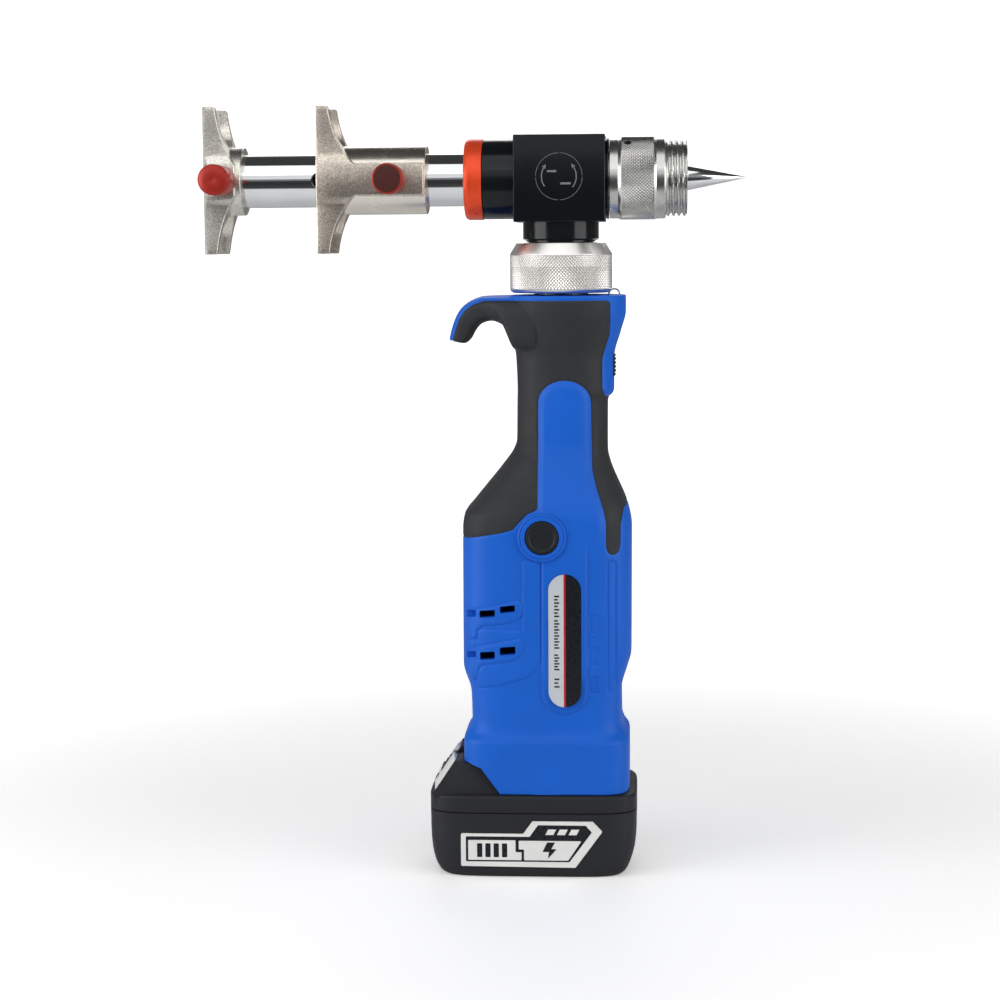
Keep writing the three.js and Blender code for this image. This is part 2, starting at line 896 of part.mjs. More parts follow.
function expanderAdapter() {
  const [threadStart, threadEnd, turns] = [57.7, 69.2, 4];
  const pitch = (threadEnd - threadStart) / turns;
  const thread = [];
  for (let i = 0; i < turns; i += 1) {
    const x = threadStart + i * pitch;
    thread.push([19.1, x + 0.3], [20.7, x + 1.2], [20.7, x + 1.9]);
  }
  const profile = [
    [13, 20.2],
    [15.7, 20.2],
    [15.7, 26.9],
    [21.8, 26.9],
    [21.8, 32],
    [22.6, 32.6],
    [22.6, 51.6],
    [22, 52.2],
    [22, 57.4],
    ...thread,
    [19.1, threadEnd],
    [15, threadEnd],
    [15, 62],
    [7, 62],
    [7, 46],
    [13, 46],
    [13, 20.2],
  ];
  return turnX(profile, 20);
}

function adapterScrew(grow) {
  const along = 36.8;
  return cylinderZ(1.6 + grow, HEAD_Z + 18 - grow, HEAD_Z + 22.2 + grow * 20, along, 0, 16)
    .translate([-along, 0, -HEAD_Z])
    .rotate([32, 0, 0])
    .translate([along, 0, HEAD_Z]);
}

function mandrel() {
  return turnX([
    [0, 4],
    [4.4, 4],
    [4.4, 7.3],
    [7 - FIT, 7.3],
    [7 - FIT, 69.4],
    [6.75, 69.8],
    [0.25, 101.1],
    [0, 101.3],
  ]);
}

function expanderPiston() {
  const disc = piston(1, 7, 0);
  return disc.subtract(cylinderX(4.5, 3.8, 8));
}

// ---------------------------------------------------------------- battery

function batteryLower() {
  const outer = loft(BATTERY, 0, 28);
  const room = loft(between(BATTERY, 2.6, 36.3), 2.4, 16).translate([0, 0, 0.02]);
  const upper = box(-60, 30, -30, 30, 36, 38);
  return outer.subtract(room.add(upper));
}

function batteryUpper() {
  const [, left, right, depth, square] = BATTERY.at(-1);
  const low = BATTERY_SEAM + 0.3;
  const lid = loft(
    [
      [low, left, right, depth, square],
      [BATTERY_TOP - 1.4, left, right, depth, square],
      [BATTERY_TOP, left + 1.4, right - 1.4, depth - 1.4, square],
    ],
    0,
    28,
  );
  const room = loft(
    [
      [low - 1, left + 2.4, right - 2.4, depth - 2.4, square],
      [43.6, left + 2.4, right - 2.4, depth - 2.4, square],
    ],
    0,
    20,
  );
  const shoulderSide = outline([
    [-70.8, 46],
    [-58.4, 63.4],
    [-56.6, 64.8],
    [-56.2, 62.6],
    [-49.8, 62.6],
    [-35.6, 46],
  ]);
  const shoulderFront = outline([
    [-33.5, 45],
    [33.5, 45],
    [31, 52],
    [27.5, 70],
    [-27.5, 70],
    [-31, 52],
  ]);
  const shoulder = prismY(shoulderSide, -36, 36).intersect(prismX(shoulderFront, -80, -30));
  const rail = outline([
    [-19, 45],
    [19, 45],
    [19, 52],
    [24, 52],
    [24, 57.6],
    [-24, 57.6],
    [-24, 52],
    [-19, 52],
  ]);
  const rails = prismX(rail, -45, 28.5);
  let upper = lid.subtract(room).add(shoulder).add(rails);
  upper = upper.subtract(box(-70.2, -50, -9.2, 9.2, 44.8, 80));
  for (const y of [-7, 0, 7]) upper = upper.subtract(box(-22, 40, y - 1.3, y + 1.3, 53, 60));
  return upper;
}

function batteryLatch() {
  const side = outline([
    [-69.4, 52],
    [-50.4, 52],
    [-50.4, 65.4],
    [-52.8, 65.4],
    [-52.8, 60],
    [-63.5, 60],
  ]);
  return prismY(side, -8.9, 8.9);
}

function cellPack() {
  const [radius, pitch, length] = [8.9, 17.6, 60];
  let pack = null;
  for (let column = 0; column < 5; column += 1) {
    for (const z of [13.2, 30.8]) {
      const x = -15.6 + (column - 2) * pitch;
      const cell = cylinderY(radius, -length / 2, length / 2, x, z, 12);
      pack = pack ? pack.add(cell) : cell;
    }
  }
  return pack;
}

function chargeBoard() {
  return box(-48, 26, -24, 24, 40.6, 42.2);
}

function batteryLabelOutline(grow) {
  const points = [
    [-53.6 - grow, 5 - grow],
    [9.4 + grow / 2, 5 - grow],
    [24 + grow, 24.6],
    [19.4 + grow, 30.2 + grow],
    [-15.2, 30.2 + grow],
    [-21.6, 24.6 + grow],
    [-55.6 - grow, 24.6 + grow],
    [-55.6 - grow, 7 - grow],
  ];
  return outline(points);
}

function batteryLabel(grow, y0, y1) {
  return prismY(batteryLabelOutline(grow), y0, y1);
}

// ---------------------------------------------------------------- materials

const paints = {
  bluePlastic: { color: 0x1b62c6, roughness: 0.42, metalness: 0 },
  softGrip: { color: 0x2b2e33, roughness: 0.75, metalness: 0 },
  blackPlastic: { color: 0x24262b, roughness: 0.5, metalness: 0 },
  caseBlack: { color: 0x2a2c31, roughness: 0.55, metalness: 0 },
  blackAnodised: { color: 0x14171a, roughness: 0.28, metalness: 0.75 },
  orangeAnodised: { color: 0xe0481f, roughness: 0.32, metalness: 0.35 },
  redAnodised: { color: 0xa8281c, roughness: 0.35, metalness: 0.55 },
  castNickel: { color: 0xb9ab98, roughness: 0.5, metalness: 0.85 },
  chrome: { color: 0xdfe3e6, roughness: 0.08, metalness: 1 },
  turnedSteel: { color: 0xc9cacb, roughness: 0.28, metalness: 1 },
  darkSteel: { color: 0x6f7276, roughness: 0.4, metalness: 1 },
  springSteel: { color: 0x9a9da0, roughness: 0.35, metalness: 1 },
  seal: { color: 0x181818, roughness: 0.6, metalness: 0 },
  board: { color: 0x1f5a36, roughness: 0.5, metalness: 0 },
  cell: { color: 0x3f8f6a, roughness: 0.4, metalness: 0 },
  brass: { color: 0xb9924a, roughness: 0.35, metalness: 1 },
  bladder: { color: 0x3a2f2c, roughness: 0.7, metalness: 0 },
  labelSilver: { color: 0xb4bac0, roughness: 0.35, metalness: 0.2 },
  labelWhite: { color: 0xe8e8e6, roughness: 0.4, metalness: 0 },
};

const materials = Object.fromEntries(
  Object.entries(paints).map(([name, look]) => [
    name,
    new THREE.MeshStandardMaterial({ name, ...look }),
  ]),
);

function piece(name, look, body) {
  const shape = body.isBufferGeometry ? body : geometryOf(body);
  const mesh = new THREE.Mesh(shape, materials[look].clone());
  mesh.name = name;
  return mesh;
}

// A spring wound along Z about the origin, then turned and moved into place.
function springPiece(name, geometry, turn, place) {
  const mesh = piece(name, "springSteel", geometry);
  mesh.rotation.set(...turn);
  mesh.position.set(...place);
  return mesh;
}

// ---------------------------------------------------------------- assembly

function headGroup() {
  const group = new THREE.Group();
  const adapter = expanderAdapter().subtract(adapterScrew(0.2));
  group.add(
    piece("head_block", "blackAnodised", headBlock()),
    piece("collar_nut", "orangeAnodised", collarNut()),
    piece("guide_tube", "chrome", guideTube()),
    piece("tube_end_plug", "darkSteel", tubeEndPlug()),
    piece("end_jaw", "castNickel", endJaw()),
    piece("end_jaw_pin", "redAnodised", jawPin(END_PIN_X, -46)),
    piece("expander_adapter", "turnedSteel", adapter),
    piece("adapter_set_screw", "darkSteel", adapterScrew(0)),
  );
  return group;
}

function pressGroup() {
  const group = new THREE.Group();
  const [rodEnd, plugFace] = [-102.4, -173.7];
  group.add(
    piece("sliding_jaw", "castNickel", slidingJaw()),
    piece("sliding_jaw_pin", "redAnodised", jawPin(SLIDER_PIN_X, -39.5)),
    piece("push_rod", "chrome", pushRod()),
    piece("press_piston", "darkSteel", piston(-9, -3, 0)),
    piece("press_seal", "seal", seal(-6)),
    springPiece(
      "press_return_spring",
      coil(8.2, 1, 10, 0, rodEnd - plugFace, 8),
      [0, Math.PI / 2, 0],
      [plugFace, 0, HEAD_Z],
    ),
  );
  return group;
}

function expanderGroup() {
  const group = new THREE.Group();
  const [pistonFace, shoulder] = [7.2, 45.8];
  group.add(
    piece("expander_mandrel", "chrome", mandrel()),
    piece("expander_piston", "darkSteel", expanderPiston()),
    piece("expander_seal", "seal", seal(4)),
    springPiece(
      "expander_return_spring",
      coil(10.4, 1.2, 6, 0, shoulder - pistonFace, 8),
      [0, Math.PI / 2, 0],
      [pistonFace, 0, HEAD_Z],
    ),
  );
  return group;
}

function handleGroup() {
  const group = new THREE.Group();
  group.add(
    piece("shell_front", "bluePlastic", shellHalf(-1)),
    piece("shell_rear", "bluePlastic", shellHalf(1)),
    piece("grip_front", "softGrip", gripHalf(-1)),
    piece("grip_rear", "softGrip", gripHalf(1)),
    piece("side_label", "labelSilver", labelPlate(0, -35.2, -34.6)),
    piece("lanyard_eye", "springSteel", eyeTorus(0.5)),
    piece("neck_insert", "turnedSteel", neckInsert()),
    piece("oil_bladder", "bladder", oilBladder()),
    piece("pump_block", "darkSteel", pumpBlock()),
    piece("eccentric_shaft", "darkSteel", eccentricShaft()),
    piece("gearbox_case", "darkSteel", gearboxCase()),
    piece("motor_can", "darkSteel", motorCan()),
    piece("motor_rotor", "brass", motorRotor()),
    piece("control_board", "board", controlBoard()),
    piece("terminal_block", "blackPlastic", terminalBlock()),
    piece("trigger", "blackPlastic", triggerSolid()),
    piece("trigger_switch", "blackPlastic", triggerSwitch()),
    piece("release_button", "blackPlastic", releaseButton()),
    piece("release_valve", "brass", cylinderY(4, -24.4, -18.7, BUTTON_X, BUTTON_Z)),
    springPiece(
      "trigger_spring",
      coil(2.4, 0.3, 3, 0, 4.6, 8),
      [0, Math.PI / 2, 0],
      [15.5, 0, TRIGGER_Z],
    ),
    springPiece(
      "release_spring",
      coil(3.2, 0.35, 4, 0, 5.7, 8),
      [Math.PI / 2, 0, 0],
      [BUTTON_X, -24.6, BUTTON_Z],
    ),
  );
  CASE_SCREWS.forEach(([x, z], i) => {
    group.add(piece(`case_screw_${i + 1}`, "darkSteel", caseScrew(x, z)));
  });
  return group;
}

function batteryGroup() {
  const group = new THREE.Group();
  const [labelBack, labelFront] = [-36.9, -37.6];
  const lower = batteryLower().subtract(batteryLabel(0.15, labelFront - 5, labelBack + 0.15));
  group.add(
    piece("battery_lower_case", "caseBlack", lower),
    piece("battery_upper_case", "caseBlack", batteryUpper()),
    piece("battery_latch", "blackPlastic", batteryLatch()),
    piece("battery_label", "labelWhite", batteryLabel(0, labelFront, labelBack)),
    piece("cell_pack", "cell", cellPack()),
    piece("charge_board", "board", chargeBoard()),
    springPiece("latch_spring", coil(2.8, 0.35, 4, 0, 6.7, 8), [0, 0, 0], [-58, 0, 45.1]),
  );
  return group;
}

const tool = new THREE.Group();
tool.add(headGroup(), pressGroup(), expanderGroup(), handleGroup(), batteryGroup());
tool.add(piece("swivel_ring", "turnedSteel", swivelRing()));

export default tool;
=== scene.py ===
"""Looks of a cordless hydraulic sleeve press and pipe expander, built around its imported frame.

Sizes are millimetres in the shared frame (+Z up, +X towards the expander cone, -Y the label
side) and become metres when a mesh is made. Camera, lights and floor are in metres.
"""
import json
import math

import bmesh
import bpy
import numpy as np
from mathutils import Matrix, Vector


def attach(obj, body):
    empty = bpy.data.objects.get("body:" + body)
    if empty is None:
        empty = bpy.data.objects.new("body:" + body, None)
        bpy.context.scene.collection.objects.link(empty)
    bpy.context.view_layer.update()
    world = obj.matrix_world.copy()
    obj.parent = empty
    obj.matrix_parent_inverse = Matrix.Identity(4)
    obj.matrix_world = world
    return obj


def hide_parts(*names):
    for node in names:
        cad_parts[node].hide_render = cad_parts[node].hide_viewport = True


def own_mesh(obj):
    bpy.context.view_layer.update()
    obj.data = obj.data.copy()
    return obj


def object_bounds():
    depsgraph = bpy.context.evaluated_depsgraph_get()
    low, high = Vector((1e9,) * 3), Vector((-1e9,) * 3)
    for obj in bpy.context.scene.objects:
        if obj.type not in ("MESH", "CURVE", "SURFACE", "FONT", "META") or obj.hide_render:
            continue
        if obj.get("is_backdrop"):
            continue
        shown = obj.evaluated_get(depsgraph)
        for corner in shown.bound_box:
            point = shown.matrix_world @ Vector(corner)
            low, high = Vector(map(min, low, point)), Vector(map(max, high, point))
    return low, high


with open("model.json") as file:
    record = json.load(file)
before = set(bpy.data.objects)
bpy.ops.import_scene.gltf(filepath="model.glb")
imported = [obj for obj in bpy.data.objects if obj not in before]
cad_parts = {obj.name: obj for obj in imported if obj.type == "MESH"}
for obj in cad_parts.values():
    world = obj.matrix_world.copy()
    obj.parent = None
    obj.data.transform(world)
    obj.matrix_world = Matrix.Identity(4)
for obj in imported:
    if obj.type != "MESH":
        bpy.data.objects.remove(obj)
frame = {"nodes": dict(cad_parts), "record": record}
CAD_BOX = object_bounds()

MM = 0.001

# ------------------------------------------------------------------ driving dimensions

HEAD_Z = 384.0
HEAD_AXIS = (0, 0, HEAD_Z)
TUBE_R = 14.5
TUBE_BORE_R = 10.0
TUBE_LEFT = -193.0
PRESS_STROKE = 40.0
PIN_R = 4.25
KNOB_R = 8.25
SLIDER_PIN_X = -91.8
END_PIN_X = -184.7
JAW_HALF_DEPTH = 21
JAW_REACH = 40
JAW_HUB_R = 18.7
BARREL_R = 21.7
COLLAR_LEFT, COLLAR_RIGHT = -52.4, -42.5
BLOCK_LEFT, BLOCK_RIGHT = -25.0, 24.6
BLOCK_LOW, BLOCK_HIGH = 360.5, 407.4
BLOCK_HALF_DEPTH = 24.0
RING_LOW, RING_HIGH, RING_R = 321.9, 349.3, 28.3
HOUSING_TOP = 320.6
GRIP_DEPTH = 2.1
SPLIT = 0.1
TRIGGER_Z = 282.0
BUTTON_X, BUTTON_Z = -9.8, 189.7
LABEL_X, LABEL_LOW, LABEL_HIGH, LABEL_HALF = 2.4, 96.0, 169.5, 8.9
BATTERY_SEAM, BATTERY_TOP = 36.3, 46.5

# Housing outline: height, left edge, right edge, half depth, squareness of the section.
HOUSING = [
    (46.8, -54.8, 37.8, 36.4, 6),
    (75.2, -54.6, 37.8, 36.4, 6),
    (80.6, -51.8, 34.9, 33.3, 5.5),
    (86, -50.2, 33.5, 32.7, 5),
    (102, -50.6, 33.3, 33.2, 5),
    (117, -54.9, 37.2, 35, 4.4),
    (123, -55, 38.8, 35, 4.2),
    (193, -54.7, 39, 35, 4.2),
    (200.8, -53.6, 37.8, 34.5, 4),
    (206.4, -49.3, 36.2, 33.2, 3.8),
    (228.9, -31.2, 27.1, 25.8, 3),
    (235, -26.9, 25.8, 24, 2.7),
    (241, -24.8, 25.7, 23.2, 2.6),
    (263, -24.5, 25.8, 23, 2.5),
    (268, -24.4, 29.2, 23, 2.4),
    (287, -25.1, 29.4, 23.6, 2.3),
    (301.5, -28.4, 33.2, 26.8, 2.3),
    (312, -30, 35.8, 29, 2.3),
    (320.6, -30, 35.8, 29.4, 2.3),
]

# Battery case outline, in the same order.
BATTERY = [
    (0, -66.2, 34.4, 33.2, 6),
    (2, -68.6, 36.4, 35.4, 6),
    (8, -71.4, 39, 36.8, 6),
    (15, -72.8, 40.8, 37.3, 6),
    (23, -73.4, 41.6, 37.5, 6),
    (36.3, -73.6, 41.9, 37.5, 6),
]

# The finger hook's outer and inner edges, from its root to its tip, and its half width.
HOOK_OUTER = [(-14, 320.6), (-30, 320.6), (-42.2, 320.3), (-49.5, 318), (-54.6, 314.3), (-58.3, 308.6),
              (-60.6, 302), (-62, 296.2)]
HOOK_INNER = [(-14, 288), (-25.6, 291), (-31, 303.6), (-38.2, 306.6), (-43.8, 305.1), (-47.4, 301.4),
              (-49.8, 297), (-52.6, 294.2)]
HOOK_HALF_WIDTH = [25, 23.5, 18, 15.2, 13.8, 13, 12.6, 12.4]


def arch(left, right, foot, height, steps=14):
    """Points over a half ellipse from its left foot to its right foot."""
    middle, half = (left + right) / 2, (right - left) / 2
    angles = [math.pi * k / steps for k in range(steps + 1)]
    return [(middle - half * math.cos(a), foot + height * math.sin(a)) for a in angles]


# Soft grip as seen from the side: round the hook, down the neck, round the side panel.
GRIP = [
    (27.4, 317.9), (-42, 317.9), (-48.4, 315.6), (-52.8, 312.4), (-56, 307.4), (-58.2, 300.8),
    (-59.6, 296), (-60.4, 290), (-70, 290), (-70, 188), (-52.5, 188.2), (-31, 192.2), (-25.4, 194),
    (-22.9, 197.2), (-17.6, 202.4), (-12.2, 204.6), *arch(-12.2, 16.8, 262, 12.4), (17.4, 226),
    (20, 215.4), (23.6, 204.4), (25, 198), (25, 184), (26.6, 180.2), (29.4, 179.6), (32, 181.4),
    (32.8, 185), (33, 196), (34.6, 205), (50, 210), (50, 264.6), (24.6, 264.6), (22.9, 270),
    (22.9, 286), (24.6, 292), (26.8, 299), (27.4, 306),
]

# Cooling slots: left, right, bottom, top.
VENTS = [
    (-52.4, -46.4, 144.6, 148.3), (-44.4, -35.8, 145, 149), (-33, -24.8, 147.9, 151.7),
    (-52.6, -46.6, 122.1, 125.5), (-44.2, -36, 121.6, 126), (-33.2, -24.6, 124.5, 129),
]

# Raised fins round the two rows of slots, and the panel that both stand on.
FIN_UPPER = [(-70, 143.6), (-51.9, 147.9), (-22.1, 154.7), (-20.4, 152.3), (-21.1, 146.6),
             (-23.9, 143.8), (-32.3, 141.6), (-42.1, 140.9), (-45.3, 138.1), (-46.3, 133), (-70, 131)]
FIN_LOWER = [(-70, 122), (-52, 126.7), (-39.4, 130), (-22.3, 133.6), (-20.4, 131.1), (-21.3, 124.7),
             (-25.5, 121.8), (-43.7, 118.9), (-45.6, 115.4), (-46.3, 110), (-70, 108)]
VENT_PANEL = [(-20.3, 176.4), (-11.2, 176.4), (-11.5, 121.2), (-13.6, 116.2), (-18.5, 112.3),
              (-32.6, 107.6), (-46.3, 105.8), (-46.1, 128.9), (-45.3, 138.1), (-20.6, 138.1)]
FINGER_RECESSES = [(15.8, 20.6, 136.5, 146.9), (15.7, 20.6, 118.7, 129.2), (15.7, 20.6, 102.6, 112.6)]

CASE_SCREWS = [(-46, 182), (29, 172), (-46, 134), (29, 134), (-43, 76), (26, 76)]
SCREW_BOSS_R, SCREW_BOSS_DEPTH = 4.6, 33
SCREW_HEAD_ROOM_R, SCREW_SHANK_ROOM_R = 3.5, 1.75

# ------------------------------------------------------------------ camera, light and floor

CAMERA_AZIMUTH = math.radians(3.6)
CAMERA_ELEVATION = math.radians(6.5)
CAMERA_ROLL = math.radians(0.4)
CAMERA_DISTANCE = 1.27
CAMERA_LENS, CAMERA_SENSOR = 81.72, 36
TARGET = Vector((-0.0347, 0.0, 0.2064))


def add_camera():
    back = Vector((
        math.sin(CAMERA_AZIMUTH) * math.cos(CAMERA_ELEVATION),
        -math.cos(CAMERA_AZIMUTH) * math.cos(CAMERA_ELEVATION),
        math.sin(CAMERA_ELEVATION),
    ))
    data = bpy.data.cameras.new("camera")
    data.sensor_width = CAMERA_SENSOR
    data.lens = CAMERA_LENS
    camera = bpy.data.objects.new("camera", data)
    bpy.context.collection.objects.link(camera)
    camera.location = TARGET + CAMERA_DISTANCE * back
    aim = (-back).to_track_quat("-Z", "Y").to_matrix().to_4x4()
    camera.rotation_euler = (aim @ Matrix.Rotation(-CAMERA_ROLL, 4, "Z")).to_euler()
    bpy.context.scene.camera = camera


def add_area(name, place, aim_at, size, power):
    data = bpy.data.lights.new(name, "AREA")
    data.shape = "RECTANGLE"
    data.size, data.size_y = size
    data.energy = power
    light = bpy.data.objects.new(name, data)
    bpy.context.collection.objects.link(light)
    light.location = place
    direction = Vector(aim_at) - Vector(place)
    light.rotation_euler = direction.to_track_quat("-Z", "Y").to_euler()


def add_lights():
    head, body = (-0.05, 0, 0.38), (-0.01, 0, 0.26)
    add_area("left_box", (-1.0, -0.5, 0.42), body, (0.8, 0.95), 8.2)
    add_area("right_box", (1.0, -0.5, 0.42), body, (0.8, 0.95), 6.6)
    add_area("front_top", (-0.05, -0.72, 1.22), head, (1.6, 0.95), 5.4)
    add_area("front_fill", (0.0, -1.6, 0.92), head, (2.2, 0.6), 2.2)
    add_area("back_top", (0.0, 1.2, 0.95), head, (1.4, 0.4), 4.0)


def add_world():
    """White behind the tool, and a grey room with a lighter belt for everything it reflects."""
    world = bpy.data.worlds.new("studio")
    world.use_nodes = True
    nodes, links = world.node_tree.nodes, world.node_tree.links
    background = nodes["Background"]
    path = nodes.new("ShaderNodeLightPath")
    direction = nodes.new("ShaderNodeTexCoord")
    split = nodes.new("ShaderNodeSeparateXYZ")
    links.new(direction.outputs["Generated"], split.inputs["Vector"])
    height = nodes.new("ShaderNodeMapRange")
    height.inputs["From Min"].default_value = -1
    links.new(split.outputs["Z"], height.inputs["Value"])
    room = nodes.new("ShaderNodeValToRGB")
    elements = room.color_ramp.elements
    while len(elements) < 4:
        elements.new(0.5)
    for element, (place, grey) in zip(elements, ((0.475, 0.03), (0.54, 0.24), (0.74, 0.24), (0.82, 0.045))):
        element.position = place
        element.color = (grey, grey, grey, 1)
    links.new(height.outputs["Result"], room.inputs["Fac"])
    level = nodes.new("ShaderNodeMapRange")
    level.inputs["To Max"].default_value = 1.0
    links.new(room.outputs["Color"], level.inputs["To Min"])
    links.new(path.outputs["Is Camera Ray"], level.inputs["Value"])
    links.new(level.outputs["Result"], background.inputs["Strength"])
    background.inputs["Color"].default_value = (1, 1, 1, 1)
    bpy.context.scene.world = world
    bpy.context.scene.view_settings.view_transform = "Standard"


def add_floor():
    """A flat pale floor that curves up far behind the tool."""
    reach, start, bend, height = 5.0, 1.6, 1.2, 3.4
    profile = [(-reach, 0.0), (start, 0.0)]
    for i in range(1, 13):
        angle = math.pi / 2 * i / 12
        profile.append((start + bend * math.sin(angle), bend * (1 - math.cos(angle))))
    profile.append((start + bend, height))
    verts, faces = [], []
    for y, z in profile:
        verts += [(-reach, y, z - 0.0002), (reach, y, z - 0.0002)]
    for i in range(len(profile) - 1):
        faces.append((2 * i, 2 * i + 1, 2 * i + 3, 2 * i + 2))
    mesh = bpy.data.meshes.new("floor")
    mesh.from_pydata(verts, [], faces)
    mesh.shade_smooth()
    floor = bpy.data.objects.new("floor", mesh)
    bpy.context.collection.objects.link(floor)
    mesh.materials.append(floor_paint())
    floor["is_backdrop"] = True


def floor_paint():
    """Pale and softly glowing to the camera; in reflections dark in front of the tool."""
    paint = bpy.data.materials.new("floor_paint")
    paint.use_nodes = True
    nodes, links = paint.node_tree.nodes, paint.node_tree.links
    shader = nodes["Principled BSDF"]
    shader.inputs["Roughness"].default_value = 0.5
    shader.inputs["Emission Color"].default_value = (1, 1, 1, 1)
    place = nodes.new("ShaderNodeTexCoord")
    split = nodes.new("ShaderNodeSeparateXYZ")
    links.new(place.outputs["Object"], split.inputs["Vector"])
    glow = nodes.new("ShaderNodeMapRange")
    glow.interpolation_type = "SMOOTHSTEP"
    away = nodes.new("ShaderNodeVectorMath")
    away.operation = "LENGTH"
    links.new(place.outputs["Object"], away.inputs[0])
    for socket, value in (("From Min", 0.2), ("From Max", 1.1), ("To Min", 0.3), ("To Max", 1.0)):
        glow.inputs[socket].default_value = value
    links.new(away.outputs["Value"], glow.inputs["Value"])
    path = nodes.new("ShaderNodeLightPath")
    seen = nodes.new("ShaderNodeMath")
    seen.operation = "MULTIPLY"
    links.new(glow.outputs["Result"], seen.inputs[0])
    links.new(path.outputs["Is Camera Ray"], seen.inputs[1])
    links.new(seen.outputs["Value"], shader.inputs["Emission Strength"])
    sheet = nodes.new("ShaderNodeMapRange")
    for socket, value in (("From Min", -0.62), ("From Max", -0.5), ("To Min", 0.03), ("To Max", 0.8)):
        sheet.inputs[socket].default_value = value
    links.new(split.outputs["Y"], sheet.inputs["Value"])
    tone = nodes.new("ShaderNodeMapRange")
    tone.inputs["To Max"].default_value = 0.94
    links.new(path.outputs["Is Camera Ray"], tone.inputs["Value"])
    links.new(sheet.outputs["Result"], tone.inputs["To Min"])
    links.new(tone.outputs["Result"], shader.inputs["Base Color"])
    return paint


# ------------------------------------------------------------------ material helpers


class Look:
    """A Principled material with a few shorthands for procedural nodes."""

    def __init__(self, name, color, roughness, metallic=0.0, **sockets):
        self.material = bpy.data.materials.new(name)
        self.material.use_nodes = True
        self.tree = self.material.node_tree
        self.shader = self.tree.nodes["Principled BSDF"]
        self.color = color
        self.shader.inputs["Base Color"].default_value = (*color, 1)
        self.shader.inputs["Roughness"].default_value = roughness
        self.shader.inputs["Metallic"].default_value = metallic
        for socket, value in sockets.items():
            self.shader.inputs[socket.replace("_", " ")].default_value = value
        self.place = self.node("ShaderNodeTexCoord").outputs["Object"]
        self.bump_normal = None

    def node(self, kind, **settings):
        made = self.tree.nodes.new(kind)
        for key, value in settings.items():
            setattr(made, key, value)
        return made

    def link(self, source, target):
        self.tree.links.new(source, target)

    def scaled(self, scale):
        """Object coordinates stretched by three factors."""
        mapping = self.node("ShaderNodeMapping")
        mapping.inputs["Scale"].default_value = scale
        self.link(self.place, mapping.inputs["Vector"])
        return mapping.outputs["Vector"]

    def noise(self, scale, detail=3.0, roughness=0.6, stretch=None):
        made = self.node("ShaderNodeTexNoise")
        made.inputs["Scale"].default_value = scale
        made.inputs["Detail"].default_value = detail
        made.inputs["Roughness"].default_value = roughness
        self.link(self.scaled(stretch) if stretch else self.place, made.inputs["Vector"])
        return made.outputs["Fac"]

    def cells(self, scale):
        made = self.node("ShaderNodeTexVoronoi")
        made.inputs["Scale"].default_value = scale
        self.link(self.place, made.inputs["Vector"])
        return made.outputs["Distance"]

    def ramp(self, value, stops):
        made = self.node("ShaderNodeValToRGB")
        elements = made.color_ramp.elements
        while len(elements) < len(stops):
            elements.new(0.5)
        for element, (position, color) in zip(elements, stops):
            element.position = position
            element.color = (*color, 1)
        self.link(value, made.inputs["Fac"])
        return made.outputs["Color"]

    def spread(self, value, low, high, lowest=0.3, highest=0.7):
        """Maps the usual span of a noise onto low..high."""
        made = self.node("ShaderNodeMapRange")
        made.inputs["From Min"].default_value = lowest
        made.inputs["From Max"].default_value = highest
        made.inputs["To Min"].default_value = low
        made.inputs["To Max"].default_value = high
        self.link(value, made.inputs["Value"])
        return made.outputs["Result"]

    def tint(self, value, dark, light, lowest=0.3, highest=0.7):
        """Varies the base colour between two multiples of itself."""
        shades = [tuple(min(1.0, c * k) for c in self.color) for k in (dark, light)]
        self.link(self.ramp(value, [(lowest, shades[0]), (highest, shades[1])]),
                  self.shader.inputs["Base Color"])

    def rough(self, value, low, high):
        self.link(self.spread(value, low, high), self.shader.inputs["Roughness"])

    def bump(self, height, strength, distance):
        made = self.node("ShaderNodeBump")
        made.inputs["Strength"].default_value = strength
        made.inputs["Distance"].default_value = distance
        self.link(height, made.inputs["Height"])
        if self.bump_normal:
            self.link(self.bump_normal, made.inputs["Normal"])
        self.bump_normal = made.outputs["Normal"]
        self.link(self.bump_normal, self.shader.inputs["Normal"])


def moulded(name, color, roughness, grain=900.0, depth=0.00006):
    """Moulded plastic: even colour with a slight cloud and a fine spark-eroded grain."""
    look = Look(name, color, roughness, Specular_IOR_Level=0.22)
    look.tint(look.noise(18, 2), 0.93, 1.05)
    look.rough(look.noise(60, 4), roughness - 0.06, roughness + 0.07)
    look.bump(look.noise(grain, 2), 0.35, depth)
    return look.material


def rubber(name, color):
    look = Look(name, color, 0.58, Specular_IOR_Level=0.32)
    look.tint(look.noise(30, 3), 0.86, 1.14)
    look.rough(look.noise(140, 3), 0.55, 0.7)
    look.bump(look.cells(1500), 0.25, 0.00008)
    return look.material


def cast_nickel(name, color):
    """Sand-cast faces under bright nickel, with a fine sparkling grain."""
    look = Look(name, color, 0.34, 1.0)
    grain = look.noise(1900, 3, 0.7)
    look.tint(look.noise(1500, 2, 0.7), 0.66, 1.28, 0.36, 0.64)
    look.rough(grain, 0.24, 0.42)
    look.bump(look.noise(500, 2), 0.2, 0.0002)
    look.bump(grain, 0.42, 0.00025)
    return look.material


def turned_metal(name, color, roughness, axis, lines=5200.0, depth=0.00002):
    """Lathe-turned metal with fine rings across the given axis (0 = X, 2 = Z)."""
    look = Look(name, color, roughness, 1.0)
    stretch = [6.0, 6.0, 6.0]
    stretch[axis] = lines
    rings = look.noise(1, 2, 0.5, tuple(stretch))
    look.tint(look.noise(40, 3), 0.94, 1.05)
    look.rough(look.noise(90, 3), max(0.03, roughness - 0.04), roughness + 0.05)
    look.bump(rings, 0.3, depth)
    return look.material


